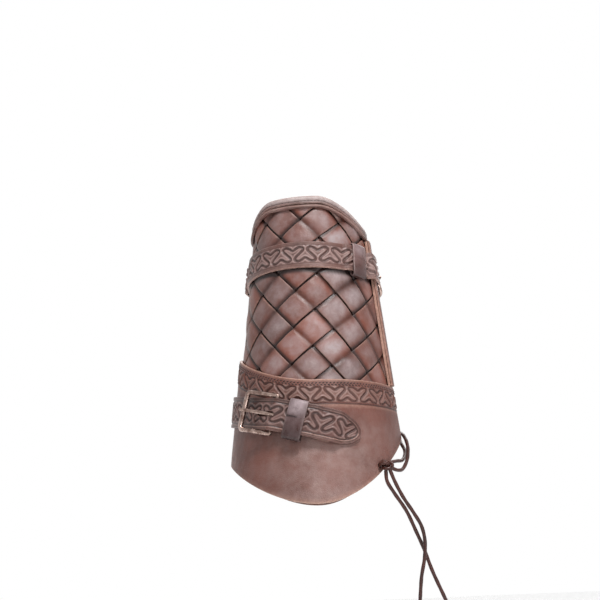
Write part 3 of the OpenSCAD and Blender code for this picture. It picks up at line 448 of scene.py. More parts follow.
def seam(name, way, places, step, long, wide, thread, lean=0.0):
    """Row of stitches. way gives turn, level and height for places along a line; each stitch
    points to a place one step on, leaning aside by an angle. It is a small pillow of 3 by 5
    points: along it a cube and across it a square is taken off its height."""
    turn, level, height = np.broadcast_arrays(*way(places))
    here, t, d = on_cone(turn, level, height), np.radians(turn), math.radians(lean)
    along = on_cone(*way(places + step)) - here
    along /= np.linalg.norm(along, axis=1, keepdims=True)
    out = np.stack([math.cos(half_angle) * np.sin(t), -math.cos(half_angle) * np.cos(t),
                    np.full(len(t), math.sin(half_angle))], 1)
    along = along * math.cos(d) + np.cross(out, along) * math.sin(d)
    here, along, across, out = [v[:, None, None] for v in (here, along, np.cross(out, along), out)]
    s, t = np.array([-1, -0.6, 0, 0.6, 1])[:, None, None], np.array([-1, 0, 1])[:, None]
    rise = (1 - np.abs(s) ** 3) * (1 - 0.6 * t * t)
    flat = here + 0.001 * (s * long / 2 * along + t * wide / 2 * (1 - 0.35 * s * s) * across)
    cloud = np.stack([flat + 0.001 * (rise * wide * 0.55 - 0.15) * out, flat - 0.00045 * out], 1)
    top = np.arange(15).reshape(5, 3)
    face = np.stack([top[:-1, :-1], top[1:, :-1], top[1:, 1:], top[:-1, 1:]], -1).reshape(-1, 4)
    ring = np.concatenate([top[:, 0], top[-1, 1:], top[-2::-1, -1], top[0, 1:2]])
    after = np.roll(ring, -1)
    quads = np.concatenate([face, face[:, ::-1] + 15, np.stack([ring, ring + 15, after + 15, after], 1)])
    faces = (quads + 30 * np.arange(len(places))[:, None, None]).reshape(-1, 4)
    dress(solid_from(name, cloud.reshape(-1, 3), faces, {}, sharp=80), thread, "lace_leather")


brown_thread = linen_thread("#3a221c")
for word, side in (("right", 1), ("left", -1)):
    line = window_turn + side * (window_half + 3.2)
    seam(f"{word}_edging_stitches", lambda z: (line, z, edging_base + edging_thick),
         np.arange(cuff_edge(line) + 3, hand_edge(line) - 13, 3.2), 1, 1.9, 0.6, brown_thread)

# ---- Trim and piping at the hand end -------------------------------------------------------
# A strip of thinner leather is folded over the hand end and stitched through. Below it lies a
# narrow strip rolled over a cord.


def tube(name, rings, values, body="bracer", closed=False):
    """Solid through rings of points, each joined to the next. Its two ends are closed by faces
    that reach across the ring, unless the last ring is joined to the first."""
    m, n = rings.shape[:2]
    index = np.arange(m * n).reshape(m, n)
    here, after = (index, np.roll(index, -1, 0)) if closed else (index[:-1], index[1:])
    faces = np.stack([here, np.roll(here, -1, 1), np.roll(after, -1, 1), after], -1).reshape(-1, 4)
    if not closed:
        j = np.arange(n // 2 - 1)
        across = np.stack([j, n - 1 - j, n - 2 - j, j + 1], 1)
        faces = np.concatenate([faces, index[0][across], index[-1][across[:, ::-1]]])
    return solid_from(name, rings.reshape(-1, 3), faces, values, body, sharp=50)


def swept_round_hand(name, profile, marks_of):
    """Closed profile of [distance below the hand end, height] carried round the arch, worked out
    for each turn."""
    turns = turns_between(left_turn, right_turn, 1.2)
    rings = np.stack([profile(turn) for turn in turns])
    points = on_cone(turns[:, None], hand_edge(turns)[:, None] - rings[..., 0], rings[..., 1])
    values = {k: np.broadcast_to(v, points.shape[:2]).ravel() for k, v in marks_of(rings[..., 0]).items()}
    return tube(name, points, values)


def trim_profile(turn):
    """Section of the folded trim: out over the leather, round the end and back inside. Two sine
    waves ripple its face."""
    o, i = float(over_weave(turn)), -shell_thick - skin
    ripple = 0.16 * math.sin(turn * 0.9) + 0.1 * math.sin(turn * 2.3 + 1)
    outside = [
        (7.0, o + 0.1), (6.95, o + 0.7), (6.7, o + 1.2), (6.2, o + 1.45), (5.4, o + 1.5), (4.6, o + 1.15),
        (3.9, o + 1.45 + ripple), (2.6, o + 1.55 + ripple), (1.4, o + 1.5), (0.6, o + 1.1), (0.12, o + 0.4)]
    end = [(0.0, o + (i - o) * t) for t in (0.1, 0.4, 0.7, 0.95)]
    inside = [(0.3, i - 0.8), (1.0, i - 1.35), (2.5, i - 1.55), (5.5, i - 1.55), (6.6, i - 1.4),
              (7.0, i - 0.8)]
    back = [(7.0, i), (4.0, i), (1.7, i), (1.65, i + 0.5), (1.6, (i + o) / 2), (1.65, o - 0.5), (1.7, o),
            (4, o), (6.9, o)]
    return np.array(outside + end + inside + back)


def trim_marks(d):
    """Rubbed at the fold, waxed on the face, dark in the line of stitching."""
    outside = np.arange(d.shape[1]) < 11
    rubbed = 0.55 * np.exp(-np.abs(d - 0.4) / 0.5) + 0.7 * np.exp(-np.abs(d - 6.9) / 0.3)
    return {"wear": np.where(outside, rubbed, 0.2), "tint": 0.05,
            "hollow": np.where(outside, 0.6 * np.exp(-((d - 4.6) / 0.4) ** 2), 0.1),
            "wax": 0.8 * outside * np.exp(-((d - 2.2) / 2.4) ** 2)}


def piping_profile(turn):
    """Section of the piping: a low half-round on a flat foot."""
    o = float(over_weave(turn))
    angle = np.linspace(0, math.pi, 13)
    arc = np.stack([9.1 + 1.5 * np.cos(angle), o + 2.15 * np.sin(angle) ** 0.8], 1)
    return np.concatenate([arc, [(8.1, o), (9.1, o), (10.1, o)]])


def piping_marks(d):
    """Rubbed along the crest."""
    return {"wear": 0.35 * np.exp(-np.abs(d - 9.1) / 0.5), "hollow": 0.0, "tint": 0.15}


# Thin soft leather, handled most of all: greyed by wax, pale at the fold.
trim_leather = tanned_leather(
    "soft_binding_leather", "#513c37", "#7a5f5a", "#ad9f9d", "#7c4537", "#bfa399", "#150807", 0.42,
    patchy=0.7)
for node_name, profile, marks_of in (
        ("top_trim", trim_profile, trim_marks), ("top_piping", piping_profile, piping_marks)):
    piece = swept_round_hand(node_name + "_leather", profile, marks_of)
    dress(piece, trim_leather, "outer_leather", node_name)
seam("trim_stitches", lambda turn: (turn, hand_edge(turn) - 4.6, over_weave(turn) + 1.2),
     np.arange(left_turn + 2, right_turn - 2, 3.4), 0.5, 2.0, 0.7, brown_thread)

# ---- Cuff padding --------------------------------------------------------------------------
# A layer of pressed wool felt that fills the cuff's front out to the height of the weave. Only
# its lower edge shows, between the shell and the cuff.

edge = window_half + 5
turns = turns_between(window_turn - edge, window_turn + edge, 2.5)
columns, levels = sheet_grid(
    turns, [0, 0.5], 6, [0, 0.5], elbow_edge(turns) + 2.6, cuff_edge(turns) - 8.6)
fuzz = 0.08 * np.sin(columns * 9.1 + levels * 3.7)
padding = leather_piece(
    "cuff_padding_felt", on_cone(columns, levels, weave_top - 0.1 + fuzz), on_cone(columns, levels, 0.35), {})
# Matt, brown, with fibres 1 mm long that scatter the light.
felt, tree, shader, place = new_finish("pressed_wool_felt")
fibres = add(tree, "TexNoise", {"Vector": place, "Scale": 900, "Detail": 6})
shade = add(tree, "Mix", {0: fibres, 6: "#3c302b", 7: "#6b5a50"}, 2, data_type="RGBA")
lift = add(tree, "Bump", {"Strength": 0.6, "Distance": 0.0005, "Height": fibres})
feed(tree, shader, {"Base Color": shade, "Roughness": 0.95, "Normal": lift})
dress(padding, felt, "felt", "cuff_padding")

# ---- Cuff ----------------------------------------------------------------------------------
# The outer leather round the elbow end, with a pointed flap. One winding line is pressed into
# its upper border, between a double row of stitches and a creased line. Its cut edges are
# rubbed pale.

cuff_thick, fret_period = 2.5, 19.4
band_from, band_middle, band_to, crease_at = 5.6, 12.0, 18.4, 19.4


def cut_corners(route, times):
    """Rounds a route by cutting each corner a quarter of the way along both its sides."""
    p = np.asarray(route, float)
    for _ in range(times):
        cuts = np.stack([0.75 * p[:-1] + 0.25 * p[1:], 0.25 * p[:-1] + 0.75 * p[1:]], 1)
        p = np.concatenate([p[:1], cuts.reshape(len(p) * 2 - 2, -1), p[-1:]])
    return p


def running_fret(x, w, reach, start):
    """Relief, groove and ridge of one line that winds along the band: it runs out along one
    side, turns back on itself and crosses slantwise to the other, and repeats. The groove is a
    dip around the line, and the ridge swells beside it."""
    wide = 1.35
    half_wave = np.array([(0, -2.7), (2.9, -5.0), (5.7, -6.3), (8.3, -5.4), (8.5, -3.2), (5.1, 0), (1.7, 3.2),
                          (1.9, 5.4), (4.5, 6.3), (7.3, 5.0)]) * [fret_period / 20.4, reach / 6.3]
    wave = np.concatenate([half_wave, half_wave * [1, -1] + [fret_period / 2, 0]])
    route = [wave + [i * fret_period, 0] for i in (-1, 0, 1)] + [wave[:1] + [2 * fret_period, 0]]
    line = cut_corners(np.concatenate(route), 3)
    px, d = np.mod(x - start, fret_period), np.full(np.shape(x + w), 99.0)
    for a, b in zip(line[:-1], line[1:]):
        t = np.clip(((px - a[0]) * (b[0] - a[0]) + (w - a[1]) * (b[1] - a[1])) / ((b - a) @ (b - a)), 0, 1)
        d = np.minimum(d, np.hypot(px - a[0] - t * (b[0] - a[0]), w - a[1] - t * (b[1] - a[1])))
    groove, ridge = fade((wide - d) / (wide * 0.8)), fade((d - 0.9) / 0.6) * fade((3.0 - d) / 1.3)
    return 0.4 * ridge - 0.8 * groove, groove, ridge


def creased_line(w, at, width=0.5):
    """Narrow pressed line at a distance, as a share from 0 to 1: a bell curve."""
    return np.exp(-((w - at) / width) ** 2)


turns = turns_between(left_turn, right_turn, 0.5)
high = cuff_edge(turns)
columns, levels = sheet_grid(
    turns, [0, 0.1, 0.3, 0.7, 1.4], 3.2, np.concatenate([[0, 0.1, 0.3, 0.7], np.arange(1.2, 21, 0.5)]),
    elbow_edge(turns), high)
below_edge, above_flap = high[:, None] - levels, levels - levels[:, :1]
round_way = np.radians(columns) * (elbow_radius - taper * 90 + weave_top + cuff_thick)
to_side = np.minimum(columns - left_turn, right_turn - columns) * 1.06
far = np.minimum(to_side, np.minimum(below_edge, above_flap))
fret, groove, ridge = running_fret(round_way, band_middle - below_edge, 6.1, 5.3)
in_band = fade((below_edge - band_from) / 0.8) * fade((band_to - below_edge) / 0.8)
border = creased_line(below_edge, crease_at, 0.55)
flap_line = creased_line(above_flap, 3.2, 0.5) * 0.35
raised = 0.25 * fade((20.5 - below_edge) / 1.0)
height = (over_weave(columns) + cuff_thick - 0.25 + raised - rim_drop(far, 0.9)
          + waviness(columns, levels, 0.2) * fade(far / 6) + fret * in_band - 0.4 * border - 0.3 * flap_line)
# Towards the sides the cuff is redder and less waxed, and hollow puts a painted shade there.
aside = 1 - front_share(columns)
marks = {
    "wear": np.clip(1.1 * np.exp(-far / 0.8) + 0.12 * ridge * in_band
                    + 0.3 * creased_line(below_edge, 20.6, 0.5), 0, 1),
    "hollow": np.clip(0.52 * groove * in_band + 0.7 * border + 0.3 * flap_line + 0.5 * aside, 0, 0.95),
    "wax": (0.42 * fade((below_edge - 26) / 14) + 0.5 * ridge * in_band + 0.1) * (1 - aside),
    "tint": 0.1 + 0.55 * aside}
cuff = leather_piece(
    "cuff_leather", on_cone(columns, levels, height),
    on_cone(columns, levels, over_weave(columns) + rim_drop(far, 0.5)), marks)
dress(cuff, cover_leather, "outer_leather", "cuff")
dark_thread = linen_thread("#2a120e")
for row, (down, lean) in enumerate(((3.1, 28), (4.7, -28))):
    seam(f"cuff_stitches_{row + 1}",
         lambda turn: (turn, cuff_edge(turn) - down, over_weave(turn) + cuff_thick + 0.05),
         np.arange(left_turn + 3 + row * 1.25, right_turn - 2, 2.5), 0.5, 2.1, 0.95, dark_thread, lean)

# ---- Straps --------------------------------------------------------------------------------
# Two straps of bridle leather with raised borders and a running band between them. Each is
# riveted at the left back, comes round the front, passes under the front bar of its buckle and
# over the heel bar, and lies down on the folded leather that holds the buckle.

strap_thick, fold_thick, bar_radius, run_fit, keeper_play = 1.8, 1.2, 1.5, 0.08, 0.5
heel_round = bar_radius + run_fit + fold_thick
tongue_ring = bar_radius + run_fit + 1.5
fold_long, drop_from, drop_long, tip_long = 8.0, 28.0, 5.0, 20.0
keeper_half, upper_keeper_turn = 6.0, 46
keeper_half_turn = math.degrees(keeper_half / (elbow_radius - taper * upper_strap_level))
hole_radius, slot_half = 1.9, 2.1


def line_angle(line):
    """Angle of a strap's line in the flat pattern: its slope on the cone, turned with it."""
    return line[2] + line[0] * math.sin(half_angle)


def strap_point(line, s, w):
    """Point of the pattern, s along a strap's line from its place and w across it."""
    return ruled(to_pattern(line[0], line[1]), line_angle(line), s, w)


def place_at(line, s):
    """Turn, level and slope of a strap's line, s along it."""
    turn, z = from_pattern(strap_point(line, s, 0.0))
    return [float(turn), float(z), line_angle(line) - float(turn) * math.sin(half_angle)]


def reach(line, turn):
    """Distance along a strap's line to a turn: where the line crosses that ray."""
    phi, d = math.radians(turn * math.sin(half_angle)), math.radians(line_angle(line))
    ray, way = (math.sin(phi), -math.cos(phi)), (math.cos(d), math.sin(d))
    start = to_pattern(line[0], line[1])
    return -(start[0] * ray[1] - start[1] * ray[0]) / (way[0] * ray[1] - way[1] * ray[0])


class Seat:
    """A place on a strap's line: the shell's radius along the strap, which is the cone's widened
    by the slope, and a flat frame that points along the strap, aside and outwards."""

    def __init__(self, place):
        turn, z, slope = self.place = place
        t, g = math.radians(turn), math.radians(slope)
        self.radius = (elbow_radius - taper * z) / math.cos(half_angle) / math.cos(g) ** 2
        around = np.array([math.cos(t), math.sin(t), 0])
        up = np.array([-math.sin(half_angle) * math.sin(t), math.sin(half_angle) * math.cos(t),
                       math.cos(half_angle)])
        self.out = np.cross(around, up)
        self.along = math.cos(g) * around + math.sin(g) * up
        self.aside = -math.sin(g) * around + math.cos(g) * up
        self.foot = on_cone(turn, z, 0.0)

    def at(self, x, y, h):
        """Point in metres, x along the strap, y aside and h outwards in millimetres."""
        x, y, h = [v[..., None] for v in np.broadcast_arrays(x, y, h)]
        return self.foot + 0.001 * (x * self.along + y * self.aside + h * self.out)


class BuckleEnd(Seat):
    """Sizes of one strap's buckle end: its width, the buckle's reach, what it lies on, the room
    for the keeper's leg, the fold's length and the fall of the buckle's frame."""

    def __init__(self, place, wide, long, lies, leg, fold_end, fall):
        super().__init__(place)
        self.wide, self.long, self.lies, self.leg, self.fold_end = wide, long, lies, leg, fold_end
        self.base = lies + leg
        self.heel = self.base + heel_round
        self.front = self.heel - fall * long
        self.crest = self.heel + tongue_ring + skin
        self.leave = math.acos((self.radius + lies) / (self.radius + self.crest))

    def fold_base(self, s):
        """Underside of the fold, dropping behind the keeper's leg."""
        return self.base - self.leg * fade((s - drop_from) / drop_long)

    def fold_top(self, s):
        """Upper side of the fold: full round the bar, closing to its two layers."""
        thick = 2 * fold_thick + skin
        return self.fold_base(s) + thick + (2 * heel_round - thick) * (1 - fade(s / fold_long))

    def over_fold(self, s):
        """Underside of the strap on the fold, a little higher over the rivets."""
        return self.fold_top(s) + skin + 0.9 * fade((s - self.fold_end + 10.4) / 3)

    def strap_under(self, s, lying):
        """Underside of the strap: lying, then straight up to the heel bar, then down the fold."""
        end = self.fold_end + 2
        rise = (self.radius + self.lies) / np.cos(s / self.radius + self.leave) - self.radius
        fall = self.crest + (self.over_fold(fold_long) - self.crest) * fade(s / fold_long)
        return np.select(
            [s < -self.leave * self.radius, s < 0, s < fold_long, s < end],
            [lying, rise, fall, self.over_fold(s)],
            lying + (self.over_fold(end) - lying) * (1 - fade((s - end) / 8)))


upper_line, lower_line = [0.0, upper_strap_level, upper_strap_slope], [-15.0, 65.5, -15.0]
upper = BuckleEnd(place_at(upper_line, reach(upper_line, 116)), 22.0, 19.0, 2.9, 0.0, 16.0, 0.0)
lower = BuckleEnd(
    place_at(lower_line, reach(lower_line, -27)), 25.0, 29.0, 7.62, fold_thick + 2 * keeper_play, 41.0, 0.1)


def upper_lying(turn):
    """Height on which the upper strap lies: the weave, its keeper's leg, the edging, the panel."""
    d = np.abs(turn - window_turn) - window_half
    weave, edge = skin + weave_top, edging_base + edging_thick + skin
    near = 1 - fade((np.abs(turn - upper_keeper_turn) - keeper_half_turn - 3.8) / 4)
    return (weave + (edge - weave) * fade((d + 8.5) / 4)
            - (edge - weave - panel_thick - skin) * fade((d - 8) / 5)
            - (weave - over_weave(turn, 2)) + (fold_thick + 2 * skin) * near)


def lower_lying(turn):
    """Height on which the lower strap lies: the cuff."""
    return over_weave(turn, 2) + cuff_thick + skin


def strap(name, group, start, tip, lying, holes, fret_reach, fret_start, bordered):
    """Strap on a grid along and across its line, 0.45 mm apart, its tip a quarter ellipse at both
    sides. The border's lines and the band follow the distance from the edge. Holes are cut out
    of the grid, whose nearest points are first drawn onto the hole's outline."""
    s = np.arange(start, tip, 0.45)
    s = np.concatenate([s[:-1], tip - np.array([0.5, 0.28, 0.12, 0.03, 0])])
    half = group.wide / 2
    rim = np.array([0, 0.02, 0.06, 0.12])
    v = np.concatenate([-1 + rim, np.linspace(-0.95, 0.95, int(group.wide / 0.47)), 1 - rim[::-1]])
    width = half * np.sqrt(np.clip(1 - (np.clip(s - tip + tip_long, 0, None) / tip_long) ** 2, 0.0009, 1))
    S, W = np.broadcast_arrays(s[:, None], v * width[:, None])
    cut = np.zeros((len(s) - 1, len(v) - 1), bool)
    for low, high, radius in holes:
        nearest = np.clip(S, low, high)
        d = np.hypot(S - nearest, W)
        scale = np.where((np.abs(d - radius) < 0.3) & (d > 0), radius / np.maximum(d, 1e-6), 1)
        S, W = nearest + (S - nearest) * scale, W * scale
        middle_s, middle_w = (S[:-1, :-1] + S[1:, 1:]) / 2, (W[:-1, :-1] + W[1:, 1:]) / 2
        cut |= np.hypot(middle_s - np.clip(middle_s, low, high), middle_w) < radius
    u = np.clip(S - tip + tip_long, 0, None)
    share, slope = np.hypot(u / tip_long, W / half), np.hypot(u / tip_long ** 2, W / half ** 2)
    from_tip = np.minimum((1 - share) * share / np.maximum(slope, 1e-4), half)
    far = np.clip(np.minimum(np.where(u > 0, from_tip, half - np.abs(W)), S - start), 0, None)
    flat = strap_point(group.place, S, W)
    under = group.strap_under(S, lying(from_pattern(flat)[0]))
    fret, groove, ridge = running_fret(
        S * (1 + (group.lies + strap_thick) / group.radius), W, fret_reach, fret_start)
    inside = fade((far - 3.4) / 0.7)
    lines = bordered * (creased_line(far, 3.1, 0.42) + 0.6 * creased_line(far, 1.5, 0.3))
    border = 0.4 * bordered * fade((3.2 - far) / 0.4)
    height = under + strap_thick + border - rim_drop(far, 0.75) + fret * inside - 0.34 * lines
    rubbed = (1 - 0.7 * bordered) * np.exp(-far / 0.7) + 0.7 * bordered * creased_line(far, 2.3, 0.35)
    marks = {
        # The lower edge is made paler than the upper: the rubbed share is four times as strong below the
        # middle.
        "wear": np.clip(np.where(W < 0, 1.0, 0.25) * rubbed + 0.1 * ridge * inside, 0, 1),
        "hollow": np.clip((0.35 + 0.15 * bordered) * groove * inside + 0.75 * lines, 0, 0.95),
        "wax": (0.9 - 0.45 * bordered) * ridge * inside + 0.35 - 0.25 * bordered, "tint": 0.1}
    return leather_piece(name, bent(flat, height), bent(flat, under), marks, keep=~cut)


# Near black and smooth: hard, greased leather that shines where the band's ridges are rubbed.
bridle_leather = tanned_leather(
    "bridle_leather", "#2d1611", "#48261e", "#866e6a", "#5c281c", "#bd988c", "#0e0402", 0.36, patchy=0.6)
tongue_slot = (-12, 0, slot_half)
for node_name, group, first_turn, tip, lying, holes, fret_reach, fret_start, bordered in (
        ("upper_strap", upper, -160, 17.0, upper_lying, (-45, -27), 6.2, 9.5, 0.2),
        ("lower_strap", lower, -157, reach(lower.place, 28), lower_lying, (-34,), 6.4, 8.2, 1.0)):
    cuts = [(s, s, hole_radius) for s in holes] + [tongue_slot]
    piece = strap(node_name + "_leather", group, reach(group.place, first_turn), tip, lying, cuts,
                  fret_reach, fret_start, bordered)
    dress(piece, bridle_leather, "strap_leather", node_name)

# ---- Chapes --------------------------------------------------------------------------------
# The leather that holds a buckle: folded round its heel bar, with a slot for the tongue, and
# riveted down through both layers.


def chape(name, group):
    """Ribbon carried along the lower layer, round the bar and back along the upper layer."""
    half = group.wide / 2 - 0.5
    run = np.concatenate([np.arange(0.7, group.fold_end, 0.7), [group.fold_end]])
    back, angle = run[::-1], np.radians(np.linspace(270, 90, 25))
    rim = np.array([0, 0.15, 0.5])
    w = np.concatenate([rim - half, np.linspace(1 - half, half - 1, 31), half - rim[::-1]])
    sides = []
    for radius, inset in ((heel_round, 0), (bar_radius + run_fit, fold_thick)):
        x, y = radius * np.cos(angle), group.heel + radius * np.sin(angle) + group.radius
        path = np.concatenate([
            np.stack([back, group.fold_base(back) + inset], 1),
            np.stack([np.arctan2(x, y) * group.radius, np.hypot(x, y) - group.radius], 1),
            np.stack([run, group.fold_top(run) - inset], 1)])
        sides.append((path[:, :1], bent(strap_point(group.place, path[:, :1], w), path[:, 1:])))
    (s, outer), (_, inner) = sides
    slotted = (np.abs(w[:-1] + w[1:]) / 2 < slot_half) & ((s[:-1] + s[1:]) / 2 < 6)
    far = half - np.abs(w)
    marks = {"wear": 0.8 * np.exp(-far / 0.7), "hollow": 0.3 * creased_line(far, 2.0, 0.3), "tint": 0.1}
    return leather_piece(name, outer, inner, marks, keep=~slotted)


for word, group in (("upper", upper), ("lower", lower)):
    dress(chape(f"{word}_chape_leather", group), bridle_leather, "strap_leather", f"{word}_chape")

# ---- Keepers -------------------------------------------------------------------------------
# Closed loops of leather that hold the strap down. Their ends meet in a butt joint at the
# middle of the front, which shows on the lower one. The upper one is sewn to the weave, and
# the lower one slides on its strap.

keeper_room, keeper_slack = 0.8, 3.0


def keeper(name, place, wide, bottom, top, body, joint):
    """Loop carried round a rectangle with round corners, open by a hair at the front's middle,
    and bent with the strap about the shell's centre of curvature. Its front swells as a
    parabola, and joint is 1 where the ends' meeting line shows."""
    seat = Seat(place)
    half_wide, half_high, corner, split = wide / 2 + keeper_room + fold_thick, (top - bottom) / 2, 2.8, 0.06
    right, left, high = half_wide - corner, corner - half_wide - keeper_slack, half_high - corner
    route = [[(split, half_high, 0, 1)]]
    for y, z, first in ((right, high, 90), (right, -high, 0), (left, -high, -90), (left, high, -180)):
        a = np.radians(np.linspace(first, first - 90, 9))
        route.append(np.stack([y + corner * np.cos(a), z + corner * np.sin(a), np.cos(a), np.sin(a)], 1))
    route = np.concatenate(route + [[(-split, half_high, 0, 1)]])
    loop = [p + (q - p) * np.linspace(0, 1, max(2, int(math.dist(p[:2], q[:2]) / 0.8) + 1))[:-1, None]
            for p, q in zip(route[:-1], route[1:])]
    loop = np.concatenate(loop + [route[-1:]])
    y, z = loop[:, :1], loop[:, 1:2]
    ny, nz = np.split(loop[:, 2:] / np.linalg.norm(loop[:, 2:], axis=1, keepdims=True), 2, 1)
    rim = np.array([0, 0.1, 0.3, 0.7])
    x = np.concatenate([rim - keeper_half, np.linspace(-4.8, 4.8, 13), keeper_half - rim[::-1]])
    far, angle, count = keeper_half - np.abs(x), x / seat.radius, np.arange(len(loop))[:, None]
    front = fade(z / half_high) * (1 - (y / half_wide) ** 2) * (1 - 0.9 * (x / keeper_half) ** 2)
    swell = 0.8 * np.maximum(front, 0)
    wave = 0.08 * np.sin(count * 0.35) * np.cos(x * 0.5)

    def surface(inset):
        """Points inside the loop's path by an inset, bent about the centre of curvature."""
        r = seat.radius + (top + bottom) / 2 + z - nz * inset
        return seat.at(r * np.sin(angle), y - ny * inset, r * np.cos(angle) - seat.radius)

    from_joint = np.minimum(count, count[::-1]) * 0.8
    line = joint * 0.9 * np.exp(-(from_joint / 0.6) ** 2) * fade((2.0 - x) / 1.5)
    # The wax mark puts a painted highlight on the loop's upper part, and hollow a painted shade on its lower
    # part.
    marks = {"wear": 0.4 * np.exp(-far / 0.5), "tint": 0.6 - 0.5 * joint,
             "hollow": line + 0.45 * fade(-y / 12),
             "wax": (0.35 + 0.4 * joint) * fade((y + 2) / 10) * (1 - (x / 7) ** 2)}
    return leather_piece(name, surface(rim_drop(far, 0.9) + wave + 0.09 - swell),
                         surface(fold_thick - rim_drop(far, 0.2) - swell), marks, body)


# Dark leather under a thick grey bloom of wax: the smoothest and shiniest of all.
keeper_leather = tanned_leather(
    "greyed_keeper_leather", "#3a2626", "#574140", "#a59598", "#5c3831", "#b09a96", "#120707", 0.28,
    patchy=0.6)
upper_keeper = keeper(
    "upper_keeper_leather", place_at(upper_line, reach(upper_line, upper_keeper_turn)), upper.wide,
    skin + weave_top, skin + weave_top + 2 * fold_thick + 2 * skin + strap_thick + 0.4 + keeper_room,
    "bracer", 0.0)
lower_keeper = keeper(
    "lower_keeper_leather", place_at(lower.place, 16.0), lower.wide, lower.lies + keeper_play - skin,
    lower.fold_top(fold_long) + skin + strap_thick + 0.4 + keeper_room + fold_thick, "lower_keeper", 1.0)
dress(upper_keeper, keeper_leather, "keeper_leather", "upper_keeper")
dress(lower_keeper, keeper_leather, "keeper_leather", "lower_keeper")

# ---- Buckles and tongues -------------------------------------------------------------------
# Heel-bar buckles of steel wire, bent, welded and blackened, then rubbed bright again. The
# tongue is rolled round the heel bar and rests on the front bar.


def rod(name, path, radii, body="bracer", closed=False, sides=20, flat=1.0, aside=None):
    """Round bar along a path of points in metres, with a radius in millimetres at each. Each
    ring stands square to the path. It starts from the direction aside, or else from one that is
    carried along without twisting, and flat squeezes it across that."""
    tangent = np.roll(path, -1, 0) - np.roll(path, 1, 0) if closed else np.gradient(path, axis=0)
    tangent /= np.linalg.norm(tangent, axis=1, keepdims=True)
    if aside is None:
        v, guide = np.cross(tangent[0], [0.3, 0.2, 1.0]), []
        for t in tangent:
            v = v - t * (v @ t)
            v /= np.linalg.norm(v)
            guide.append(v)
        guide = np.array(guide)
    else:
        guide = aside - tangent * (tangent @ aside)[:, None]
        guide /= np.linalg.norm(guide, axis=1, keepdims=True)
    other = np.cross(tangent, guide)[:, None] * np.broadcast_to(flat, len(path))[:, None, None]
    angle = np.linspace(0, 2 * math.pi, sides, endpoint=False)[:, None]
    ring = np.cos(angle) * guide[:, None] + np.sin(angle) * other
    rings = path[:, None] + 0.001 * np.broadcast_to(radii, len(path))[:, None, None] * ring
    return tube(name, rings, {}, body, closed)


# Bare metal, warm brown where the blackening is left in clouds 6 mm wide, bright and smooth on
# what is handled, with fine dents 1 mm wide.
steel, tree, shader, place = new_finish("blackened_and_rubbed_steel")
tarnish = add(tree, "TexNoise", {"Vector": place, "Scale": 160, "Detail": 5, "Roughness": 0.65})
scratches = add(tree, "TexNoise", {"Vector": place, "Scale": 900, "Detail": 3})
tone = add(tree, "ValToRGB", {"Fac": tarnish})
for stop, share, code in zip(tone.node.color_ramp.elements, (0.38, 0.64), ("#6a544c", "#b39d94")):
    stop.position, stop.color = share, colour(code)
polish = add(tree, "MapRange", {
    "Value": tarnish, "From Min": 0.35, "From Max": 0.65, "To Min": 0.34, "To Max": 0.2})
dents = add(tree, "Bump", {"Strength": 0.15, "Distance": 0.0003, "Height": scratches})
feed(tree, shader, {"Base Color": tone, "Metallic": 1.0, "Roughness": polish, "Normal": dents})


def buckle(name, group, body):
    """Frame on a closed path: out along half the heel bar, along one side, round a corner and in
    along half the front bar, and the same mirrored. The sides bow outwards as a sine, and the
    heel bar is thinner than the rest."""
    y, corner = group.wide / 2 + 0.75 + 1.7, 3.4
    share, a = np.linspace(0, 1, 8), np.radians(np.linspace(10, 80, 8))
    half = np.concatenate([
        np.stack([0 * share, (y - 1.2) * share], 1), [(0, y - 0.6), (0, y)],
        np.stack([(corner - group.long) * np.linspace(0, 1, 15)[1:], np.full(14, y)], 1),
        np.stack([corner - group.long - corner * np.sin(a), y - corner + corner * np.cos(a)], 1),
        np.stack([np.full(8, -group.long), (y - corner) * share[::-1]], 1)])
    x, w = np.concatenate([half, half[-2:0:-1] * [1, -1]]).T
    t = np.clip(-x / group.long, 0, 1)
    h = group.heel + (group.front - group.heel) * t + 1.6 * np.sin(np.pi * t)
    heel_bar = (x > -0.01) & (np.abs(w) < y - 1.0)
    radii = np.where(heel_bar, bar_radius, 1.75 + 0.3 * fade((t - 0.75) / 0.25))
    return rod(name, group.at(x, w, h), radii, body, closed=True)


def tongue(name, group, body):
    """Flat bar that starts round the heel bar and runs out over the front bar, bowed a little as
    a sine, to a tip that narrows and bends down."""
    rest, far, roll_radius = group.front + 2.1 + 0.15, -group.long, 2.35
    a, t = np.radians(np.linspace(-150, 100, 26)), np.linspace(0.05, 1, 22)[:, None]
    ring = np.stack([roll_radius * np.cos(a), group.heel + roll_radius * np.sin(a)], 1)
    bar = ring[-1] + ([far - 1.5, rest + 0.85] - ring[-1]) * t + [0, 0.5] * np.sin(math.pi * t)
    tip = [(far - 2.4, rest + 0.7), (far - 3.2, rest + 0.4), (far - 3.7, rest + 0.2)]
    x, h = np.concatenate([ring, bar, tip]).T
    wide = np.concatenate([np.full(26, 1.5), np.linspace(1.5, 1.15, 22), [1.05, 0.9, 0.5]])
    flat = np.repeat([0.45, 0.55, 0.6], [26, 22, 3])
    return rod(name, group.at(x, 0.0, h), wide, body, flat=flat, aside=group.aside)


for word, group in (("upper", upper), ("lower", lower)):
    frame_name, tongue_name = f"{word}_buckle", f"{word}_tongue"
    dress(buckle(f"{word}_buckle_frame", group, frame_name), steel, "antique_steel", frame_name)
    dress(tongue(f"{word}_buckle_tongue", group, tongue_name), steel, "antique_steel", tongue_name)

# ---- Rivets and eyelets --------------------------------------------------------------------
# Turned brass, set with a punch: rivets through the chapes and the straps' fixed ends, and
# eyelets on both sides of the gap. They keep their plain solids and get the metal alone.

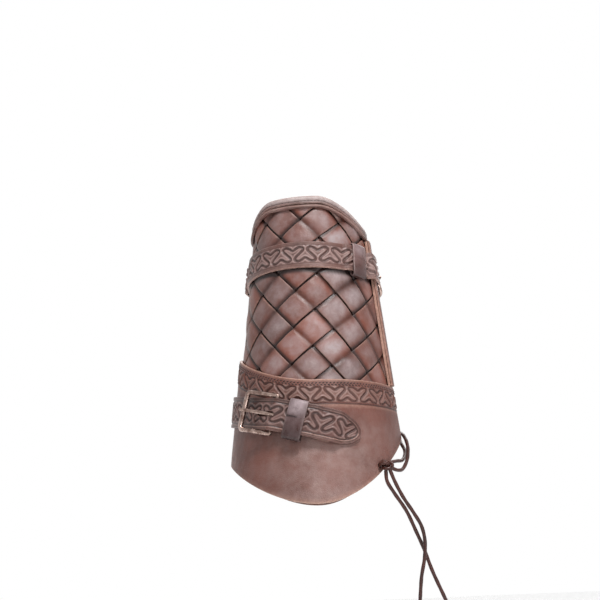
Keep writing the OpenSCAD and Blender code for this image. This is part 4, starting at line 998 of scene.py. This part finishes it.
# Dull yellow brown, darker where dirt has dried on it in spots 4 mm wide.
brass, tree, shader, place = new_finish("dulled_brass")
dirt = add(tree, "TexNoise", {"Vector": place, "Scale": 240, "Detail": 5})
tone = add(tree, "ValToRGB", {"Fac": dirt})
for stop, share, code in zip(tone.node.color_ramp.elements, (0.36, 0.66), ("#4b3a26", "#a08a60")):
    stop.position, stop.color = share, colour(code)
feed(tree, shader, {"Base Color": tone, "Metallic": 1.0, "Roughness": 0.38})
for name in ("rivets", "eyelets"):
    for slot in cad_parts[name].material_slots:
        slot.material = brass

# ---- Lace ----------------------------------------------------------------------------------
# One round leather lace 3 mm thick. It criss-crosses the back through five pairs of eyelets;
# its two ends come forward over the cuff to a tight knot below the flap's edge and hang down.

lace_radius = 1.5
eyelet_low, eyelet_step, rows = 68.0, 34.0, 5
eyelet_top, eyelet_lip = 2.95, 0.8
lace_out = eyelet_top + eyelet_lip + lace_radius + 0.2
lace_in = -shell_thick - 0.25 - eyelet_lip - lace_radius - 0.2
lace_lie = skin + cuff_thick + skin + lace_radius + 0.4
eyelet_turn = {1: right_turn - 7, -1: left_turn + 367}
edge_turn = {1: right_turn + 1.3, -1: left_turn + 358.7}
gap_middle = math.radians((right_turn + left_turn + 360) / 2)


def half_lacing(side, out):
    """From the top eyelet down: out through the eyelet, over the edge, across the gap and under
    the other edge. Halfway across it stands out by the given amount, clear of the other half."""
    away = np.array([math.sin(gap_middle), -math.cos(gap_middle), 0]) * 0.001 * out
    route = []
    for i in range(rows - 1, -1, -1):
        z = eyelet_low + i * eyelet_step
        route += [on_cone(eyelet_turn[side], z, lace_in), on_cone(eyelet_turn[side], z, lace_out)]
        if i > 0:
            over = on_cone(edge_turn[side], z - 2, lace_out - 0.6)
            under = on_cone(edge_turn[-side], z - eyelet_step + 2, lace_in + 0.6)
            route += [over, (over + under) / 2 + away, under]
        side = -side
    return route


def smooth_route(route, step):
    """Curve through the points with even pull from both neighbours (centripetal Catmull-Rom),
    sampled about every step metres. Each stretch blends the lines through four points, whose
    marks are apart by the root of their distance."""
    p = np.concatenate([[2 * route[0] - route[1]], route, [2 * route[-1] - route[-2]]])
    gaps = np.linalg.norm(np.diff(p, axis=0), axis=1)
    marks = np.concatenate([[0], np.cumsum(np.sqrt(np.maximum(gaps, 1e-6)))])

    def blend(a, b, j, k):
        """From a at mark j to b at mark k, in a straight line over t."""
        return ((marks[k] - t) * a + (t - marks[j]) * b) / (marks[k] - marks[j])

    curve = []
    for i in range(1, len(p) - 2):
        t = np.linspace(marks[i], marks[i + 1], max(2, int(gaps[i] / step) + 1) + 1)[:-1, None]
        lines = [blend(p[j], p[j + 1], j, j + 1) for j in (i - 1, i, i + 1)]
        bows = blend(lines[0], lines[1], i - 1, i + 1), blend(lines[1], lines[2], i, i + 2)
        curve.append(blend(*bows, i, i + 1))
    return np.concatenate(curve + [p[-2:-1]])


# Nearly black and a little greasy, worn brown: thin lace that is often drawn tight.
lace_leather = tanned_leather(
    "round_leather_lace", "#1f0b08", "#3a1913", "#553328", "#4c2017", "#75503f", "#0e0403", 0.36, 0.15)


def lace(node_name, path):
    """Lace along a path, its thickness a little uneven as a sine."""
    wobble = 1 + 0.04 * np.sin(np.arange(len(path)) * 0.9)
    piece = rod(node_name + "_lace", path, (lace_radius - 0.06) * wobble, sides=14)
    dress(piece, lace_leather, "lace_leather", node_name)
    return piece


right_exit = on_cone(eyelet_turn[1] - 7, eyelet_low - 1.5, lace_lie)
left_exit = on_cone(eyelet_turn[-1] - 5, eyelet_low - 0.5, lace_lie)
top_bar = [on_cone(edge_turn[side], eyelet_low + (rows - 1) * eyelet_step, lace_in + 0.3) for side in (1, -1)]
lace("lacing", cut_corners(
    [right_exit] + half_lacing(1, 2.2)[::-1] + top_bar + half_lacing(-1, -2.2) + [left_exit], 3))

# The knot: two tight turns of the lace, drawn as one closed strand that winds twice round.
knot_centre, knot_turn, knot_lean = np.array([0.052, -0.0555, 0.029]), -40, 25
a = np.linspace(0, 2 * math.pi, 90, endpoint=False)
away = 3.5 + 1.5 * np.cos(3 * a)
strand = np.stack([away * np.cos(2 * a), away * np.sin(2 * a), 2.1 * np.sin(3 * a)], 1) * 0.001
tilt = Matrix.Rotation(math.radians(knot_turn), 3, "Z") @ Matrix.Rotation(math.radians(knot_lean), 3, "Y")
knot = rod("lace_knot_turns", strand @ np.array(tilt).T + knot_centre, 1.42, closed=True, sides=14)
dress(knot, lace_leather, "lace_leather", "lace_knot")


def lead(start, on_leather, free):
    """Route of an end that comes forward: from its eyelet over the leather, by turn and level,
    and then from the panel to the knot, by points in millimetres."""
    return np.concatenate([[start], [on_cone(t, z, lace_lie) for t, z in on_leather], np.array(free) * 0.001])


right_lead = lead(right_exit, [(127, 64.5), (117, 62.5), (107, 60.5)], [
    (68, -2, 59), (69.5, -10, 56), (71, -17, 51), (71.5, -24, 44.5), (70.5, -31, 37), (68, -38, 30.5),
    (64.5, -44.5, 26), (60, -50.5, 25.5), (55, -54.5, 27.5)])
left_lead = lead(left_exit, [
    (176, 65), (165, 63.5), (154, 61.5), (143, 60), (132, 58.5), (121, 56.5), (111, 54.5)], [
    (67, 2, 53), (68, -6.5, 49), (69.5, -15, 43.5), (68.5, -24, 38), (65.5, -34, 34), (61, -43, 33),
    (54.5, -53, 31)])
long_tail = np.array([
    (51.5, -56, 25), (52, -56, 17), (57, -54, 8), (66, -50, -6), (73, -46, -22), (78, -43, -34),
    (84, -42, -52), (93, -41, -74), (96, -40, -82)]) * 0.001
short_tail = np.array([
    (54.5, -57.5, 25.5), (58, -57, 16), (64, -54, 4), (71, -51, -7), (77, -49, -18), (79, -49, -29),
    (78, -49, -42), (75, -48, -56), (73, -47, -73), (72, -47, -81)]) * 0.001
for name, route, end, lay, knots in (
        ("lace_lead_right", right_lead, "knot", "taut", [knot]),
        ("lace_lead_left", left_lead, "knot", "taut", []),
        ("lace_tail_long", long_tail, "bare", "hanging", []),
        ("lace_tail_short", short_tail, "bare", "hanging", [])):
    path = smooth_route(route, 0.0015)
    lace(name, path)

# ---- Studio --------------------------------------------------------------------------------
# White card as floor and backdrop, and three soft square lamps: the key above in front, a fill
# low at the right and one from above behind. The camera looks up by 12 degrees from 1.1 m away,
# rolled by 2.3 degrees.


def looked_at(tree):
    """1 for a ray of the camera, a mirror or glass, and 0 for one that only lights things."""
    rays = add(tree, "LightPath", {}).node.outputs
    seen = add(tree, "Math", {0: rays["Is Camera Ray"], 1: rays["Is Glossy Ray"]}, operation="MAXIMUM")
    return add(tree, "Math", {0: seen, 1: rays["Is Transmission Ray"]}, operation="MAXIMUM")


def white_card(name, corners, own_light, shaded):
    """Flat card with four corners, part of the studio. The camera and reflections see it lit by
    itself: wholly, or by so much that a shadow on it stays."""
    material, tree, shader, _ = new_finish(name + "_card")
    feed(tree, shader, {"Base Color": "#f4f4f4", "Roughness": 0.9})
    glow = add(tree, "Emission", {"Color": (1, 1, 1, 1), "Strength": own_light})
    own = add(tree, "AddShader", {0: shader.outputs[0], 1: glow}) if shaded else glow
    mixed = add(tree, "MixShader", {0: looked_at(tree), 1: shader.outputs[0], 2: own})
    feed(tree, tree.nodes["Material Output"], {"Surface": mixed})
    mesh = bpy.data.meshes.new(name)
    mesh.from_pydata(corners, [], [(0, 1, 2, 3)])
    piece = bpy.data.objects.new(name, mesh)
    bpy.context.scene.collection.objects.link(piece)
    piece.data.materials.append(material)


side, back, low = 6, 3, -0.12
white_card("floor", [(-side, -side, low), (side, -side, low), (side, side, low), (-side, side, low)],
           0.55, True)
white_card("backdrop", [(-side, back, low), (side, back, low), (side, back, side), (-side, back, side)],
           1.0, False)

world = bpy.data.worlds.new("studio")
bpy.context.scene.world = world
world.use_nodes = True
tree = world.node_tree
strength = add(tree, "MapRange", {"Value": looked_at(tree), "To Min": 0.22, "To Max": 1.0})
feed(tree, tree.nodes["Background"], {"Color": (1, 1, 1, 1), "Strength": strength})

for name, place, target, size, power in (
        ("key", (0.2, -1.0, 1.4), (0, 0, 0.14), 0.4, 30), ("fill", (0.7, -1.3, 0.3), (0, 0, 0.12), 0.6, 4),
        ("back", (0.2, 1.2, 0.9), (0, 0, 0.15), 0.9, 8)):
    lamp = bpy.data.lights.new(name, "AREA")
    lamp.size, lamp.energy = size, power
    piece = bpy.data.objects.new(name, lamp)
    bpy.context.scene.collection.objects.link(piece)
    piece.location = place
    piece.rotation_euler = (Vector(target) - Vector(place)).to_track_quat("-Z", "Y").to_euler()

target, distance, view_wide, sensor = Vector((0, 0, 0.173)), 1.1, 0.5, 36
pixels_aside, pixels_wide = -11.9, 600
elevation, roll = math.radians(-12), math.radians(2.31)
eye = target + distance * Vector((0, -math.cos(elevation), math.sin(elevation)))
look = (target - eye).to_track_quat("-Z", "Y").to_matrix().to_4x4()
lens = bpy.data.cameras.new("camera")
lens.sensor_width, lens.lens = sensor, sensor * distance / view_wide
lens.shift_x = pixels_aside / pixels_wide
camera = bpy.data.objects.new("camera", lens)
bpy.context.scene.collection.objects.link(camera)
camera.matrix_world = Matrix.Translation(eye) @ look @ Matrix.Rotation(-roll, 4, "Z")
bpy.context.scene.camera = camera
bpy.context.scene.view_settings.view_transform = "Standard"
